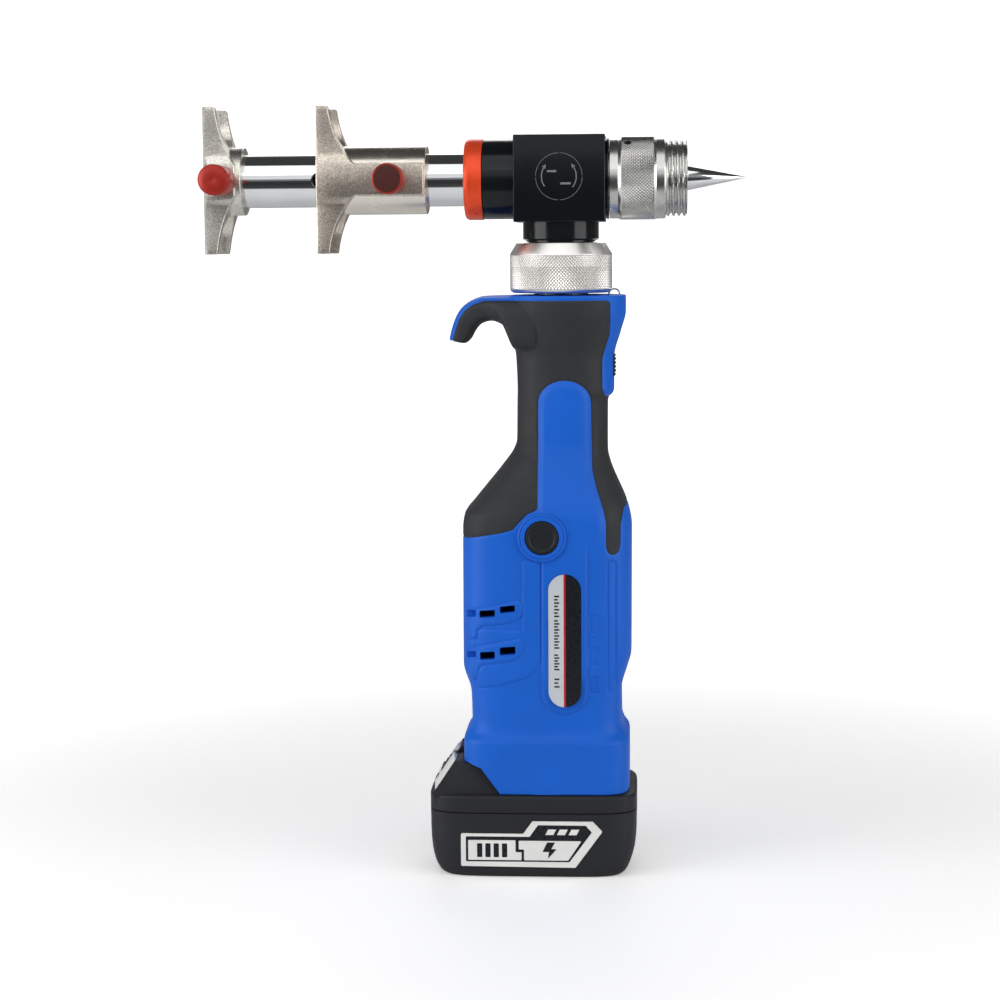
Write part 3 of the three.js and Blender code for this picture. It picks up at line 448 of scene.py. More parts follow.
def anodised(name, color, roughness, metallic):
    look = Look(name, color, roughness, metallic, Specular_IOR_Level=0.3)
    look.tint(look.noise(25, 2), 0.94, 1.06)
    look.rough(look.noise(200, 4), roughness - 0.04, roughness + 0.06)
    look.bump(look.noise(2600, 2), 0.2, 0.00002)
    return look.material


def printed(name, color, roughness):
    look = Look(name, color, roughness, Specular_IOR_Level=0.3)
    look.tint(look.noise(50, 2), 0.97, 1.03)
    look.rough(look.noise(400, 3), roughness - 0.05, roughness + 0.08)
    look.bump(look.noise(700, 2), 0.12, 0.00002)
    return look.material


def circuit_board(name):
    """Solder mask with pale copper tracks."""
    look = Look(name, (0.012, 0.13, 0.05), 0.4)
    tracks = look.node("ShaderNodeTexBrick")
    tracks.inputs["Scale"].default_value = 260
    tracks.inputs["Mortar Size"].default_value = 0.03
    tracks.inputs["Color1"].default_value = (0.01, 0.12, 0.045, 1)
    tracks.inputs["Color2"].default_value = (0.012, 0.15, 0.055, 1)
    tracks.inputs["Mortar"].default_value = (0.2, 0.42, 0.16, 1)
    look.link(look.place, tracks.inputs["Vector"])
    look.link(tracks.outputs["Color"], look.shader.inputs["Base Color"])
    look.bump(look.noise(900, 2), 0.2, 0.00004)
    return look.material


LOOKS = {
    "blue_plastic": moulded("blue_plastic", (0.008, 0.122, 0.63), 0.46),
    "soft_grip": rubber("soft_grip", (0.026, 0.028, 0.032)),
    "black_plastic": moulded("black_plastic", (0.016, 0.018, 0.022), 0.38, 700),
    "case_black": moulded("case_black", (0.021, 0.022, 0.026), 0.46, 620, 0.00012),
    "black_anodised": anodised("black_anodised", (0.0065, 0.0085, 0.0105), 0.14, 0.0),
    "orange_anodised": anodised("orange_anodised", (0.92, 0.085, 0.025), 0.3, 0.3),
    "red_anodised": anodised("red_anodised", (0.4, 0.03, 0.02), 0.34, 0.3),
    "cast_nickel": cast_nickel("cast_nickel", (0.72, 0.645, 0.56)),
    "chrome": turned_metal("chrome", (0.86, 0.88, 0.9), 0.05, 0, 2600, 0.000004),
    "turned_alloy": turned_metal("turned_alloy", (0.84, 0.83, 0.81), 0.2, 2),
    "dark_steel": turned_metal("dark_steel", (0.2, 0.2, 0.21), 0.38, 2),
    "spring_steel": turned_metal("spring_steel", (0.45, 0.45, 0.46), 0.3, 0),
    "seal_rubber": rubber("seal_rubber", (0.01, 0.01, 0.01)),
    "board_green": circuit_board("board_green"),
    "cell_wrap": printed("cell_wrap", (0.05, 0.3, 0.16), 0.35),
    "brass": turned_metal("brass", (0.62, 0.42, 0.16), 0.3, 2),
    "bladder_rubber": rubber("bladder_rubber", (0.035, 0.022, 0.018)),
    "label_silver": printed("label_silver", (0.56, 0.6, 0.64), 0.3),
    "label_white": printed("label_white", (0.82, 0.82, 0.8), 0.35),
}
LABEL_RED = printed("label_red", (0.52, 0.012, 0.02), 0.3)
LABEL_BLACK = printed("label_black", (0.008, 0.01, 0.014), 0.28)
ETCHED_GREY = printed("etched_grey", (0.2, 0.21, 0.22), 0.5)
# Darker red for the sliding jaw's knob face: painted shade standing in for the dark reflection on that face,
# not a different anodising.
KNOB_FACE_PAINTED_SHADE = anodised("knob_face_painted_shade_red", (0.07, 0.018, 0.015), 0.4, 0.0)
TURNED_X = turned_metal("turned_alloy_x", (0.66, 0.66, 0.64), 0.26, 0)
# A lighter copy of the cast nickel for the end jaw: painted highlight standing for the brighter light on it;
# both jaws are the same nickel.
NICKEL_PAINTED_HIGHLIGHT = cast_nickel("nickel_painted_highlight", (0.92, 0.83, 0.73))
TURNED_NICKEL = turned_metal("turned_nickel", (0.96, 0.9, 0.81), 0.24, 0)
# Darker copies of the turned metal for the bottoms of the knurl grooves: painted shade for the shade in the
# grooves.
GROOVE_PAINTED_SHADE_DARK = turned_metal("groove_painted_shade_dark", (0.2, 0.19, 0.18), 0.45, 2)
GROOVE_PAINTED_SHADE_PALE = turned_metal("groove_painted_shade_pale", (0.46, 0.44, 0.41), 0.45, 2)
KNURLED = turned_metal("knurled_alloy", (0.96, 0.94, 0.91), 0.34, 2)

# ------------------------------------------------------------------ mesh helpers


def new_object(name, verts, faces):
    """An object from points in millimetres."""
    mesh = bpy.data.meshes.new(name)
    mesh.from_pydata((np.asarray(verts, float) * MM).tolist(), [], faces)
    mesh.update()
    obj = bpy.data.objects.new(name, mesh)
    bpy.context.collection.objects.link(obj)
    return obj


def outward(obj):
    """Faces of a closed mesh turned to point out."""
    work = bmesh.new()
    work.from_mesh(obj.data)
    bmesh.ops.recalc_face_normals(work, faces=work.faces)
    work.to_mesh(obj.data)
    work.free()
    return obj


def weld(obj):
    """Points that lie on each other joined, and faces turned out."""
    work = bmesh.new()
    work.from_mesh(obj.data)
    bmesh.ops.remove_doubles(work, verts=work.verts, dist=1e-7)
    work.to_mesh(obj.data)
    work.free()
    return outward(obj)


def apply_modifiers(obj):
    graph = bpy.context.evaluated_depsgraph_get()
    graph.update()
    baked = bpy.data.meshes.new_from_object(obj.evaluated_get(graph))
    old = obj.data
    obj.modifiers.clear()
    obj.data = baked
    bpy.data.meshes.remove(old)
    return obj


def copy_of(obj, name):
    made = obj.copy()
    made.data = obj.data.copy()
    made.name = name
    bpy.context.collection.objects.link(made)
    return made


def drop(*objects):
    for obj in objects:
        data = obj.data
        bpy.data.objects.remove(obj)
        bpy.data.meshes.remove(data)


def combine(obj, other, operation="DIFFERENCE", keep=False):
    """A boolean of two closed meshes; the other one is used up unless it is kept."""
    modifier = obj.modifiers.new("combine", "BOOLEAN")
    modifier.object = other
    modifier.operation = operation
    modifier.solver = "MANIFOLD"
    apply_modifiers(obj)
    if not keep:
        drop(other)
    return obj


def cut(obj, *cutters):
    for cutter in cutters:
        combine(obj, cutter)
    return obj


def join(obj, *others):
    for other in others:
        combine(obj, other, "UNION")
    return obj


def bevel(obj, width, segments=3, angle=40):
    modifier = obj.modifiers.new("bevel", "BEVEL")
    modifier.width = width * MM
    modifier.segments = segments
    modifier.limit_method = "ANGLE"
    modifier.angle_limit = math.radians(angle)
    return apply_modifiers(obj)


def finish_piece(obj, body, slot, *nodes, sharp=40, look=None):
    """Shades a finished piece, gives it its look, ties it to its body and hides the CAD nodes it stands for.
    """
    obj.data.materials.clear()
    obj.data.materials.append(look or LOOKS[slot])
    obj.data.shade_smooth()
    obj.data.set_sharp_from_angle(angle=math.radians(sharp))
    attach(obj, body)
    if nodes:
        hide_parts(*nodes)
    return obj


def rounded(points, radius, steps=4, closed=True):
    """A polygon with an arc of about the given radius at every corner."""
    made = []
    count = len(points)
    for i, point in enumerate(points):
        here = np.array(point, float)
        if not closed and i in (0, count - 1):
            made.append(tuple(here))
            continue
        before = np.array(points[i - 1], float) - here
        after = np.array(points[(i + 1) % count], float) - here
        long_before, long_after = np.linalg.norm(before), np.linalg.norm(after)
        cosine = float(np.clip(before @ after / (long_before * long_after), -1, 1))
        half = math.acos(cosine) / 2
        if half > math.radians(87):
            made.append(tuple(here))
            continue
        reach = min(radius / math.tan(half), 0.45 * long_before, 0.45 * long_after)
        start, end = here + before / long_before * reach, here + after / long_after * reach
        for k in range(steps + 1):
            t = k / steps
            spot = (1 - t) ** 2 * start + 2 * t * (1 - t) * here + t**2 * end
            made.append(tuple(spot))
    return made


def prism(name, outline, low, high, axis="Y"):
    """A closed prism of a polygon: (x, z) along Y, (x, y) along Z or (y, z) along X."""
    place = {
        "Y": lambda a, b, h: (a, h, b),
        "Z": lambda a, b, h: (a, b, h),
        "X": lambda a, b, h: (h, a, b),
    }[axis]
    count = len(outline)
    verts = [place(a, b, low) for a, b in outline] + [place(a, b, high) for a, b in outline]
    faces = [tuple(range(count)), tuple(range(2 * count - 1, count - 1, -1))]
    faces += [(i, i + count, (i + 1) % count + count, (i + 1) % count) for i in range(count)]
    return outward(new_object(name, verts, faces))


def ring_quads(rings, columns):
    """Faces between neighbouring rings of points."""
    faces = []
    for i in range(rings - 1):
        base = i * columns
        for k in range(columns):
            n = (k + 1) % columns
            faces.append((base + k, base + n, base + columns + n, base + columns + k))
    return faces


def block(name, x0, x1, y0, y1, z0, z1):
    return prism(name, [(x0, z0), (x1, z0), (x1, z1), (x0, z1)], y0, y1)


# Which coordinates of a solid turned about Z become X, Y and Z when its axis is another one.
TURNED_ORDER = {"X": [2, 0, 1], "Y": [1, 2, 0], "Z": [0, 1, 2]}


def revolve(name, profile, origin=(0, 0, 0), axis="Z", facets=96, closed=False):
    """A turned solid; the profile lists (radius, height), from axis to axis or closed."""
    angles = np.linspace(0, 2 * math.pi, facets, endpoint=False)
    verts, rings = [], []
    for radius, height in profile:
        if radius < 1e-6:
            rings.append([len(verts)])
            verts.append((0, 0, height))
        else:
            rings.append(list(range(len(verts), len(verts) + facets)))
            verts += [(radius * math.cos(a), radius * math.sin(a), height) for a in angles]
    faces = []
    pairs = list(zip(rings, rings[1:] + rings[:1])) if closed else list(zip(rings, rings[1:]))
    for lower, upper in pairs:
        for k in range(facets):
            n = (k + 1) % facets
            if len(lower) == 1:
                faces.append((lower[0], upper[n], upper[k]))
            elif len(upper) == 1:
                faces.append((lower[k], lower[n], upper[0]))
            else:
                faces.append((lower[k], lower[n], upper[n], upper[k]))
    turned = np.array(verts)[:, TURNED_ORDER[axis]]
    return outward(new_object(name, turned + np.array(origin), faces))


def turned_x(name, profile, radius):
    """A solid turned about the head's axis, with its corners rounded."""
    return revolve(name, rounded(profile, radius, 3, closed=False), HEAD_AXIS, "X")


def cylinder(name, radius, low, high, origin, axis="Y", facets=64, edge=0.0):
    profile = [(0, low), (radius, low), (radius, high), (0, high)]
    if edge:
        profile = rounded(profile, edge, 4, closed=False)
    return revolve(name, profile, origin, axis, facets)


# ------------------------------------------------------------------ smooth stacks of sections


def smooth_rows(stations, heights):
    """Stations at the given heights, on monotone cubic curves through them."""
    table = np.array(stations, float)
    z, values = table[:, 0], table[:, 1:]
    gaps = np.diff(z)[:, None]
    slopes = np.diff(values, axis=0) / gaps
    tangents = np.zeros_like(values)
    same_way = slopes[:-1] * slopes[1:] > 0
    harmonic = 2 * slopes[:-1] * slopes[1:] / np.where(same_way, slopes[:-1] + slopes[1:], 1)
    tangents[1:-1] = np.where(same_way, harmonic, 0)
    tangents[0], tangents[-1] = slopes[0], slopes[-1]
    index = np.clip(np.searchsorted(z, heights) - 1, 0, len(z) - 2)
    t = ((heights - z[index]) / gaps[index, 0])[:, None]
    h00, h10 = 2 * t**3 - 3 * t**2 + 1, t**3 - 2 * t**2 + t
    h01, h11 = -2 * t**3 + 3 * t**2, t**3 - t**2
    return (h00 * values[index] + h10 * gaps[index] * tangents[index]
            + h01 * values[index + 1] + h11 * gaps[index] * tangents[index + 1])


def stack(name, stations, inset=0.0, step=2.0, columns=220, span=None):
    """A closed solid of rounded-rectangle sections along Z."""
    low, high = span or (stations[0][0], stations[-1][0])
    heights = np.linspace(low, high, max(2, int((high - low) / step) + 1))
    rows = smooth_rows(stations, heights)
    angles = np.linspace(0, 2 * math.pi, columns, endpoint=False)
    c, s = np.cos(angles), np.sin(angles)
    verts = []
    for height, (left, right, depth, square) in zip(heights, rows):
        a, b = (right - left) / 2 - inset, depth - inset
        r = (np.abs(c / a) ** square + np.abs(s / b) ** square) ** (-1 / square)
        x = (left + right) / 2 + r * c
        verts.append(np.stack([x, r * s, np.full(columns, height)], 1))
    count = len(heights)
    middles = [[(rows[k][0] + rows[k][1]) / 2, 0, heights[k]] for k in (0, -1)]
    verts = np.concatenate(verts + [np.array(middles)])
    faces = ring_quads(count, columns)
    first, last, top = count * columns, count * columns + 1, (count - 1) * columns
    for k in range(columns):
        n = (k + 1) % columns
        faces.append((first, n, k))
        faces.append((last, top + k, top + n))
    return new_object(name, verts, faces)


def polygon_distance(points, x, z):
    """Signed distance from each (x, z) to a polygon's edge, positive inside."""
    best = np.full(len(x), 1e9)
    inside = np.zeros(len(x), bool)
    for (ax, az), (bx, bz) in zip(points, points[1:] + points[:1]):
        dx, dz = bx - ax, bz - az
        t = np.clip(((x - ax) * dx + (z - az) * dz) / max(dx * dx + dz * dz, 1e-9), 0, 1)
        best = np.minimum(best, np.hypot(x - ax - t * dx, z - az - t * dz))
        crosses = (az > z) != (bz > z)
        if dz:
            inside ^= crosses & (x < ax + (z - az) * dx / dz)
    return np.where(inside, best, -best)


def stadium_distance(x, z, middle, low, high, radius):
    """Signed distance to an upright stadium's edge, positive inside."""
    core = np.clip(z, low + radius, high - radius)
    return radius - np.hypot(x - middle, z - core)


def box_distance(x, z, left, right, low, high, corner):
    dx = np.abs(x - (left + right) / 2) - (right - left) / 2 + corner
    dz = np.abs(z - (low + high) / 2) - (high - low) / 2 + corner
    outside = np.hypot(np.maximum(dx, 0), np.maximum(dz, 0))
    return corner - outside - np.minimum(np.maximum(dx, dz), 0)


def ease(value, start, end):
    t = np.clip((value - start) / (end - start), 0, 1)
    return t * t * (3 - 2 * t)


# ------------------------------------------------------------------ housing

VOXEL = 0.7
GRIP_EDGE = rounded(GRIP, 3.0, 4)
NECK_PANEL = rounded([
    (-11.6, 180), *arch(-11.6, 16.2, 262, 11.8), (16.8, 226), (19.2, 216), (22.6, 206), (24, 198),
    (23, 180),
], 3.0, 4)


def hook_solid():
    """The finger hook: squarish sections swept between its outer and inner edges."""
    stations = [
        (i, *HOOK_OUTER[i], *HOOK_INNER[i], HOOK_HALF_WIDTH[i]) for i in range(len(HOOK_OUTER))
    ]
    rows = smooth_rows(stations, np.linspace(0, len(HOOK_OUTER) - 1, 60))
    angles = np.linspace(0, 2 * math.pi, 72, endpoint=False)
    c, s = np.cos(angles), np.sin(angles)
    square = 3.4
    r = (np.abs(c) ** square + np.abs(s) ** square) ** (-1 / square)
    verts = []
    for outer_x, outer_z, inner_x, inner_z, width in rows:
        up = r * s / 2
        x = (outer_x + inner_x) / 2 + (outer_x - inner_x) * up
        z = (outer_z + inner_z) / 2 + (outer_z - inner_z) * up
        verts.append(np.stack([x, width * r * c, z], 1))
    verts = np.concatenate(verts)
    columns = len(angles)
    faces = ring_quads(len(rows), columns)
    faces.append(tuple(range(columns)))
    faces.append(tuple(range(len(verts) - 1, len(verts) - columns - 1, -1)))
    return outward(new_object("hook", verts, faces))


def housing_body():
    """Body and hook in one skin of even, small faces with softly rounded edges."""
    body = join(stack("housing", HOUSING, step=1.5), hook_solid())
    remesh = body.modifiers.new("skin", "REMESH")
    remesh.mode = "VOXEL"
    remesh.voxel_size = VOXEL * MM
    smooth = body.modifiers.new("soften", "SMOOTH")
    smooth.factor = 0.5
    smooth.iterations = 6
    return apply_modifiers(body)


def points_and_normals(obj):
    count = len(obj.data.vertices)
    points, normals = np.empty(count * 3), np.empty(count * 3)
    obj.data.vertices.foreach_get("co", points)
    obj.data.vertex_normals.foreach_get("vector", normals)
    return points.reshape(-1, 3) / MM, normals.reshape(-1, 3)


def side_relief(x, z):
    """Height of the raised and sunk shapes on the front side, from its plain surface."""
    long_edge = stadium_distance(x, z, 2.3, 91.4, 269.5, 12.2)
    vent_edge = polygon_distance(VENT_PANEL, x, z)
    long_panel = 0.6 * ease(long_edge, -0.2, 0.9)
    neck_panel = ease(polygon_distance(NECK_PANEL, x, z), -0.2, 3.0) * ease(z, 182, 200)
    height = np.maximum(long_panel, neck_panel)
    height += 0.35 * ease(vent_edge, -0.2, 0.7)
    height -= groove(long_edge + 0.7, 0.35) * ease(-z, -186, -176)
    height -= groove(vent_edge + 0.6, 0.3)
    for fin in (FIN_UPPER, FIN_LOWER):
        fin_edge = polygon_distance(rounded(fin, 2.5, 4), x, z)
        height += 0.6 * ease(fin_edge, -0.2, 0.8) - groove(fin_edge + 0.6, 0.35)
    for left, right, low, high in FINGER_RECESSES:
        recess_edge = box_distance(x, z, left, right, low, high, 0.6)
        height -= 0.35 * ease(recess_edge, -0.3, 0.5) + groove(recess_edge - 0.5, 0.35)
    channel_edge = box_distance(x, z, 25.6, 31, 102.1, 176.7, 2.0)
    height -= 0.45 * ease(channel_edge, -0.3, 0.6) + groove(channel_edge - 0.5, 0.3)
    return height


def groove(distance, depth):
    """A fine groove along a line, about a millimetre wide."""
    return depth * (1 - ease(np.abs(distance), 0.15, 0.75))


def raise_surface(obj, grip):
    """Moves the skin along its normals: side shapes, and a fine groove along the grip's edge."""
    points, normals = points_and_normals(obj)
    x, _, z = points.T
    edge = polygon_distance(GRIP_EDGE, x, z)
    off_edge = edge if grip else -edge
    height = -0.4 * (1 - ease(off_edge, -0.2, 1.0))
    if not grip:
        sideways = ease(np.abs(normals[:, 1]), 0.35, 0.75)
        height += side_relief(x, z) * sideways
    moved = points + normals * height[:, None]
    obj.data.vertices.foreach_set("co", (moved * MM).ravel())
    obj.data.update()


def battery_slot():
    """T-slot for the battery's rails, with room for the terminals above it."""
    slot = prism("slot", [(-19.4, 40), (19.4, 40), (19.4, 51.6), (24.4, 51.6), (24.4, 60), (-24.4, 60),
                          (-24.4, 51.6), (-19.4, 51.6)], -80, 29.5, "X")
    return join(slot, block("slot_top", -25.3, 5.3, -11.3, 11.3, 59, 66))


def shoulder_cut():
    edge = [(-72, 40), (-36, 44), (-33.6, 46.7), (-34.1, 48), (-44, 61.3), (-51, 63.7), (-72, 64.6)]
    return prism("shoulder_cut", rounded(edge, 0.8, 3), -60, 60)


def inner_room():
    room = stack("room", HOUSING, inset=4.5, step=6, columns=96, span=(64, 291))
    return join(room, cylinder("neck_room", 20.2, 290, 325, (0, 0, 0), "Z"))


def vent_cutters(side):
    for left, right, low, high in VENTS:
        lean = 0.8
        shape = [(left, low), (right, low + lean), (right, high + lean), (left, high)]
        yield prism("vent", rounded(shape, 0.8, 3), side * 45 - 20, side * 45 + 20)


def split_halves(obj, name):
    """Leaves the front half in the object and returns the rear half."""
    rear = copy_of(obj, name + "_rear_skin")
    obj.name = name + "_front_skin"
    combine(obj, block("front_half", -90, 60, -60, -SPLIT, 30, 340), "INTERSECT")
    return combine(rear, block("rear_half", -90, 60, SPLIT, 60, 30, 340), "INTERSECT")


def housing_shells(body):
    shell = copy_of(body, "shell")
    raise_surface(shell, grip=False)
    cut(shell, prism("grip_room", GRIP_EDGE, -60, 60))
    core = stack("core", HOUSING, inset=GRIP_DEPTH, step=3, columns=120)
    hook_core = [(-20, 316.4), (-41.6, 316.4), (-47.4, 314.2), (-51.6, 311.2), (-54.6, 306.6),
                 (-56.6, 300.4), (-51.2, 299.4), (-48.4, 304.2), (-43.6, 308.6), (-37.9, 309.8),
                 (-31, 308.4), (-20, 300)]
    join(core, prism("hook_core", hook_core, -9, 9))
    join(shell, core)
    cut(shell, inner_room(), battery_slot(), shoulder_cut())
    cut(shell, block("latch_notch", -53.4, -49.6, -9.6, 9.6, 62, 66.6))
    cut(shell, block("trigger_mouth", 12, 40, -6.4, 6.4, TRIGGER_Z - 6.4, TRIGGER_Z + 6.4))
    cut(shell, block("trigger_room", 10, 24.6, -8, 8, TRIGGER_Z - 10, TRIGGER_Z + 10))
    rear = split_halves(shell, "shell")
    finish_front(shell)
    finish_rear(rear)


def button_surround():
    """Raised ring round the release button, with a shallow groove in its face."""
    profile = rounded([(9.4, -30), (13.4, -30), (13.4, -36.6), (12.5, -37.0), (12.2, -36.6), (11.7, -36.6),
                       (11.3, -37.2), (9.4, -37.2)], 0.35, 3)
    return revolve("button_surround", profile, (BUTTON_X, 0, BUTTON_Z), "Y", 96, closed=True)


def stadium(grow, steps=20):
    """The side label's outline, grown all round."""
    r = LABEL_HALF + grow
    points = []
    for centre, start in ((LABEL_LOW + LABEL_HALF, math.pi), (LABEL_HIGH - LABEL_HALF, 0)):
        for k in range(steps + 1):
            angle = start + math.pi * k / steps
            points.append((LABEL_X + r * math.cos(angle), centre + r * math.sin(angle)))
    return points


def finish_front(shell):
    spot = (BUTTON_X, 0, BUTTON_Z)
    cut(shell, cylinder("button_seat", 13.2, -60, -20, spot))
    backing = revolve("button_backing", [(11.5, -33.4), (14.6, -33.4), (14.6, -29), (11.5, -29)], spot, "Y",
                      96, closed=True)
    join(shell, backing, button_surround())
    cut(shell, prism("label_room", stadium(0.25), -40, -34.7))
    cut(shell, *vent_cutters(-1))
    finish_piece(shell, "handle", "blue_plastic", "shell_front", sharp=48)


def finish_rear(shell):
    """Rear half: a boss round every case screw, kept inside the wall, and the cooling slots."""
    walls = stack("walls", HOUSING, inset=1, step=3, columns=120)
    for x, z in CASE_SCREWS:
        spot = (x, 0, z)
        boss = cylinder("boss", SCREW_BOSS_R, SPLIT, SCREW_BOSS_DEPTH, spot, facets=32)
        combine(boss, walls, "INTERSECT", keep=True)
        join(shell, boss)
        cut(shell, cylinder("screw_room", SCREW_HEAD_ROOM_R, 14, 60, spot, facets=40))
        cut(shell, cylinder("screw_shank_room", SCREW_SHANK_ROOM_R, -1, 60, spot, facets=24))
    drop(walls)
    cut(shell, *vent_cutters(1))
    finish_piece(shell, "handle", "blue_plastic", "shell_rear", sharp=48)


def housing_grips(body):
    grip = copy_of(body, "grip")
    raise_surface(grip, grip=True)
    combine(grip, prism("grip_span", GRIP_EDGE, -60, 60), "INTERSECT")
    inner = stack("grip_inner", HOUSING, inset=GRIP_DEPTH - 0.2, step=3, columns=120, span=(60, 320.6))
    join(inner, prism("hook_inner", [(-20, 316.6), (-41.6, 316.6), (-47.6, 314.4), (-51.8, 311.4),
                                     (-54.9, 306.7), (-56.9, 300.2), (-51, 299.2), (-48.2, 304),
                                     (-43.6, 308.3), (-37.9, 309.5), (-31, 308.1), (-20, 299)], -9.3, 9.3))
    combine(grip, inner)
    rear = split_halves(grip, "grip")
    cut(grip, cylinder("button_clear", 13.7, -60, 0, (BUTTON_X, 0, BUTTON_Z)))
    finish_piece(grip, "handle", "soft_grip", "grip_front", sharp=48)
    finish_piece(rear, "handle", "soft_grip", "grip_rear", sharp=48)


def side_label():
    """Two-tone nameplate with a red line; its lettering is replaced with plain ticks."""
    parts = (
        ("nameplate_light", -20, LABEL_X - 0.55, None),
        ("nameplate_line", LABEL_X - 0.55, LABEL_X + 0.55, LABEL_RED),
        ("nameplate_dark", LABEL_X + 0.55, 20, LABEL_BLACK),
    )
    for name, left, right, look in parts:
        plate = prism(name, stadium(0), -35.45, -34.75)
        combine(plate, block("span", left, right, -40, -30, 80, 180), "INTERSECT")
        nodes = ("side_label",) if name == "nameplate_light" else ()
        finish_piece(plate, "handle", "label_silver", *nodes, look=look)
    ticks = []
    for low, high in ((146.5, 157.5), (129, 144), (117, 125), (107.4, 111.6)):
        count = int((high - low) / 1.6) + 1
        for k in range(count):
            z = low + (high - low) * k / max(1, count - 1)
            ticks.append(block("tick", -3.3, -0.5 - 0.8 * (k % 2), -35.55, -35.4, z - 0.42, z + 0.42))
    finish_piece(merged("nameplate_ticks", ticks), "handle", "label_silver", look=LABEL_BLACK)


def merged(name, objects):
    """One object holding the meshes of several."""
    work = bmesh.new()
    for obj in objects:
        work.from_mesh(obj.data)
    mesh = bpy.data.meshes.new(name)
    work.to_mesh(mesh)
    work.free()
    drop(*objects)
    made = bpy.data.objects.new(name, mesh)
    bpy.context.collection.objects.link(made)
    return made


def release_button():
    profile = rounded([(0, -36.9), (6.6, -36.9), (7.3, -37.5), (8.4, -37.5), (9.15, -36.6), (9.15, -33.2),
                       (10.9, -33.2), (10.9, -31), (0, -31)], 0.5, 4, closed=False)
    button = revolve("release_button_cap", profile, (BUTTON_X, 0, BUTTON_Z), "Y", 96)
    finish_piece(button, "release_knob", "black_plastic", "release_button")


def trigger():
    low, high = TRIGGER_Z - 6.1, TRIGGER_Z + 6.1
    outline = [(20, low), (29.4, low)]
    for i in range(-2, 3):
        z = TRIGGER_Z + 2.2 * i
        outline += [(30.3, z - 0.8), (29.5, z - 0.45), (29.5, z + 0.45), (30.3, z + 0.8)]
    outline += [(29.4, high), (20, high)]
    face = bevel(prism("trigger_face", outline, -6.1, 6.1), 0.3, 2)
    join(face, bevel(block("flange", 20.4, 23.6, -7.6, 7.6, low - 2.6, high + 2.6), 0.3, 2))
    finish_piece(face, "trigger_button", "black_plastic", "trigger")


def lanyard_eye():
    ring = [(3 + 0.5 * math.cos(a), 0.5 * math.sin(a)) for a in np.linspace(0, 2 * math.pi, 16, False)]
    eye = revolve("lanyard_loop", ring, (29.2, 10, HOUSING_TOP), "Y", 48, closed=True)
    finish_piece(eye, "handle", "spring_steel", "lanyard_eye")


# ------------------------------------------------------------------ head


def relief_lathe(name, profile, relief, columns, origin, axis):
    """A turned solid whose radius also changes round the axis: relief(angle, radius, height)."""
    obj = revolve(name, profile, (0, 0, 0), "Z", columns)
    points, _ = points_and_normals(obj)
    radius = np.hypot(points[:, 0], points[:, 1])
    angle = np.arctan2(points[:, 1], points[:, 0])
    grown = radius + relief(angle, radius, points[:, 2])
    scale = np.where(radius > 1e-6, grown / np.maximum(radius, 1e-6), 1)
    points[:, :2] *= scale[:, None]
    points = points[:, TURNED_ORDER[axis]]
    obj.data.vertices.foreach_set("co", ((points + np.array(origin)) * MM).ravel())
    obj.data.update()
    return weld(obj)


def span(start, end, step):
    """Heights from start to end, about a step apart."""
    return list(np.linspace(start, end, max(2, int(round((end - start) / step)) + 1)))


def diamond(angle, height, starts, pitch, depth):
    """Depth of a diamond knurl: two crossing families of V grooves."""
    one = starts * angle / (2 * math.pi) + height / pitch
    two = starts * angle / (2 * math.pi) - height / pitch
    ridge = [1 - np.abs(2 * (v - np.floor(v)) - 1) for v in (one, two)]
    return -depth * (1 - np.minimum(*ridge))


def paint_groove_shade(obj, look, axis, low, high, floor_radius):
    """Paints shade into a knurl: the faces at the bottom of its grooves get their own darker look, standing
    for the shade that falls in the grooves.
    """
    obj.data.materials.append(look)
    for face in obj.data.polygons:
        x, y, z = (c / MM for c in face.center)
        along, radius = (x, math.hypot(y, z - HEAD_Z)) if axis == "X" else (z, math.hypot(x, y))
        if low < along < high and floor_radius - 0.6 < radius < floor_radius:
            face.material_index = 1


def swivel_ring():
    starts, pitch, low, high = 100, 1.95, 323.9, 342.6
    inner = [(15, 325.4), (18.2, 325.4), (18.2, RING_HIGH)]
    band = [(RING_R, z) for z in span(low, high, pitch / 6)]
    profile = [(15, RING_LOW + 0.2), (26.4, RING_LOW), (27.6, RING_LOW + 0.8), *band,
               (RING_R - 0.2, 343.3), (24.6, RING_HIGH - 0.3), (24, RING_HIGH), *inner[::-1],
               (15, RING_LOW + 0.2)]

    def relief(angle, radius, height):
        on_band = (radius > RING_R - 0.1) & (height > low + 0.1) & (height < high - 0.1)
        return np.where(on_band, diamond(angle, height, starts, pitch, 0.5), 0)

    ring = relief_lathe("swivel_ring_knurled", profile, relief, 6 * starts, (0, 0, 0), "Z")
    finish_piece(ring, "neck_ring", "turned_alloy", "swivel_ring", sharp=24, look=KNURLED)
    # Painted shade in the ring's knurl grooves.
    paint_groove_shade(ring, GROOVE_PAINTED_SHADE_PALE, "Z", low, high, RING_R - 0.36)


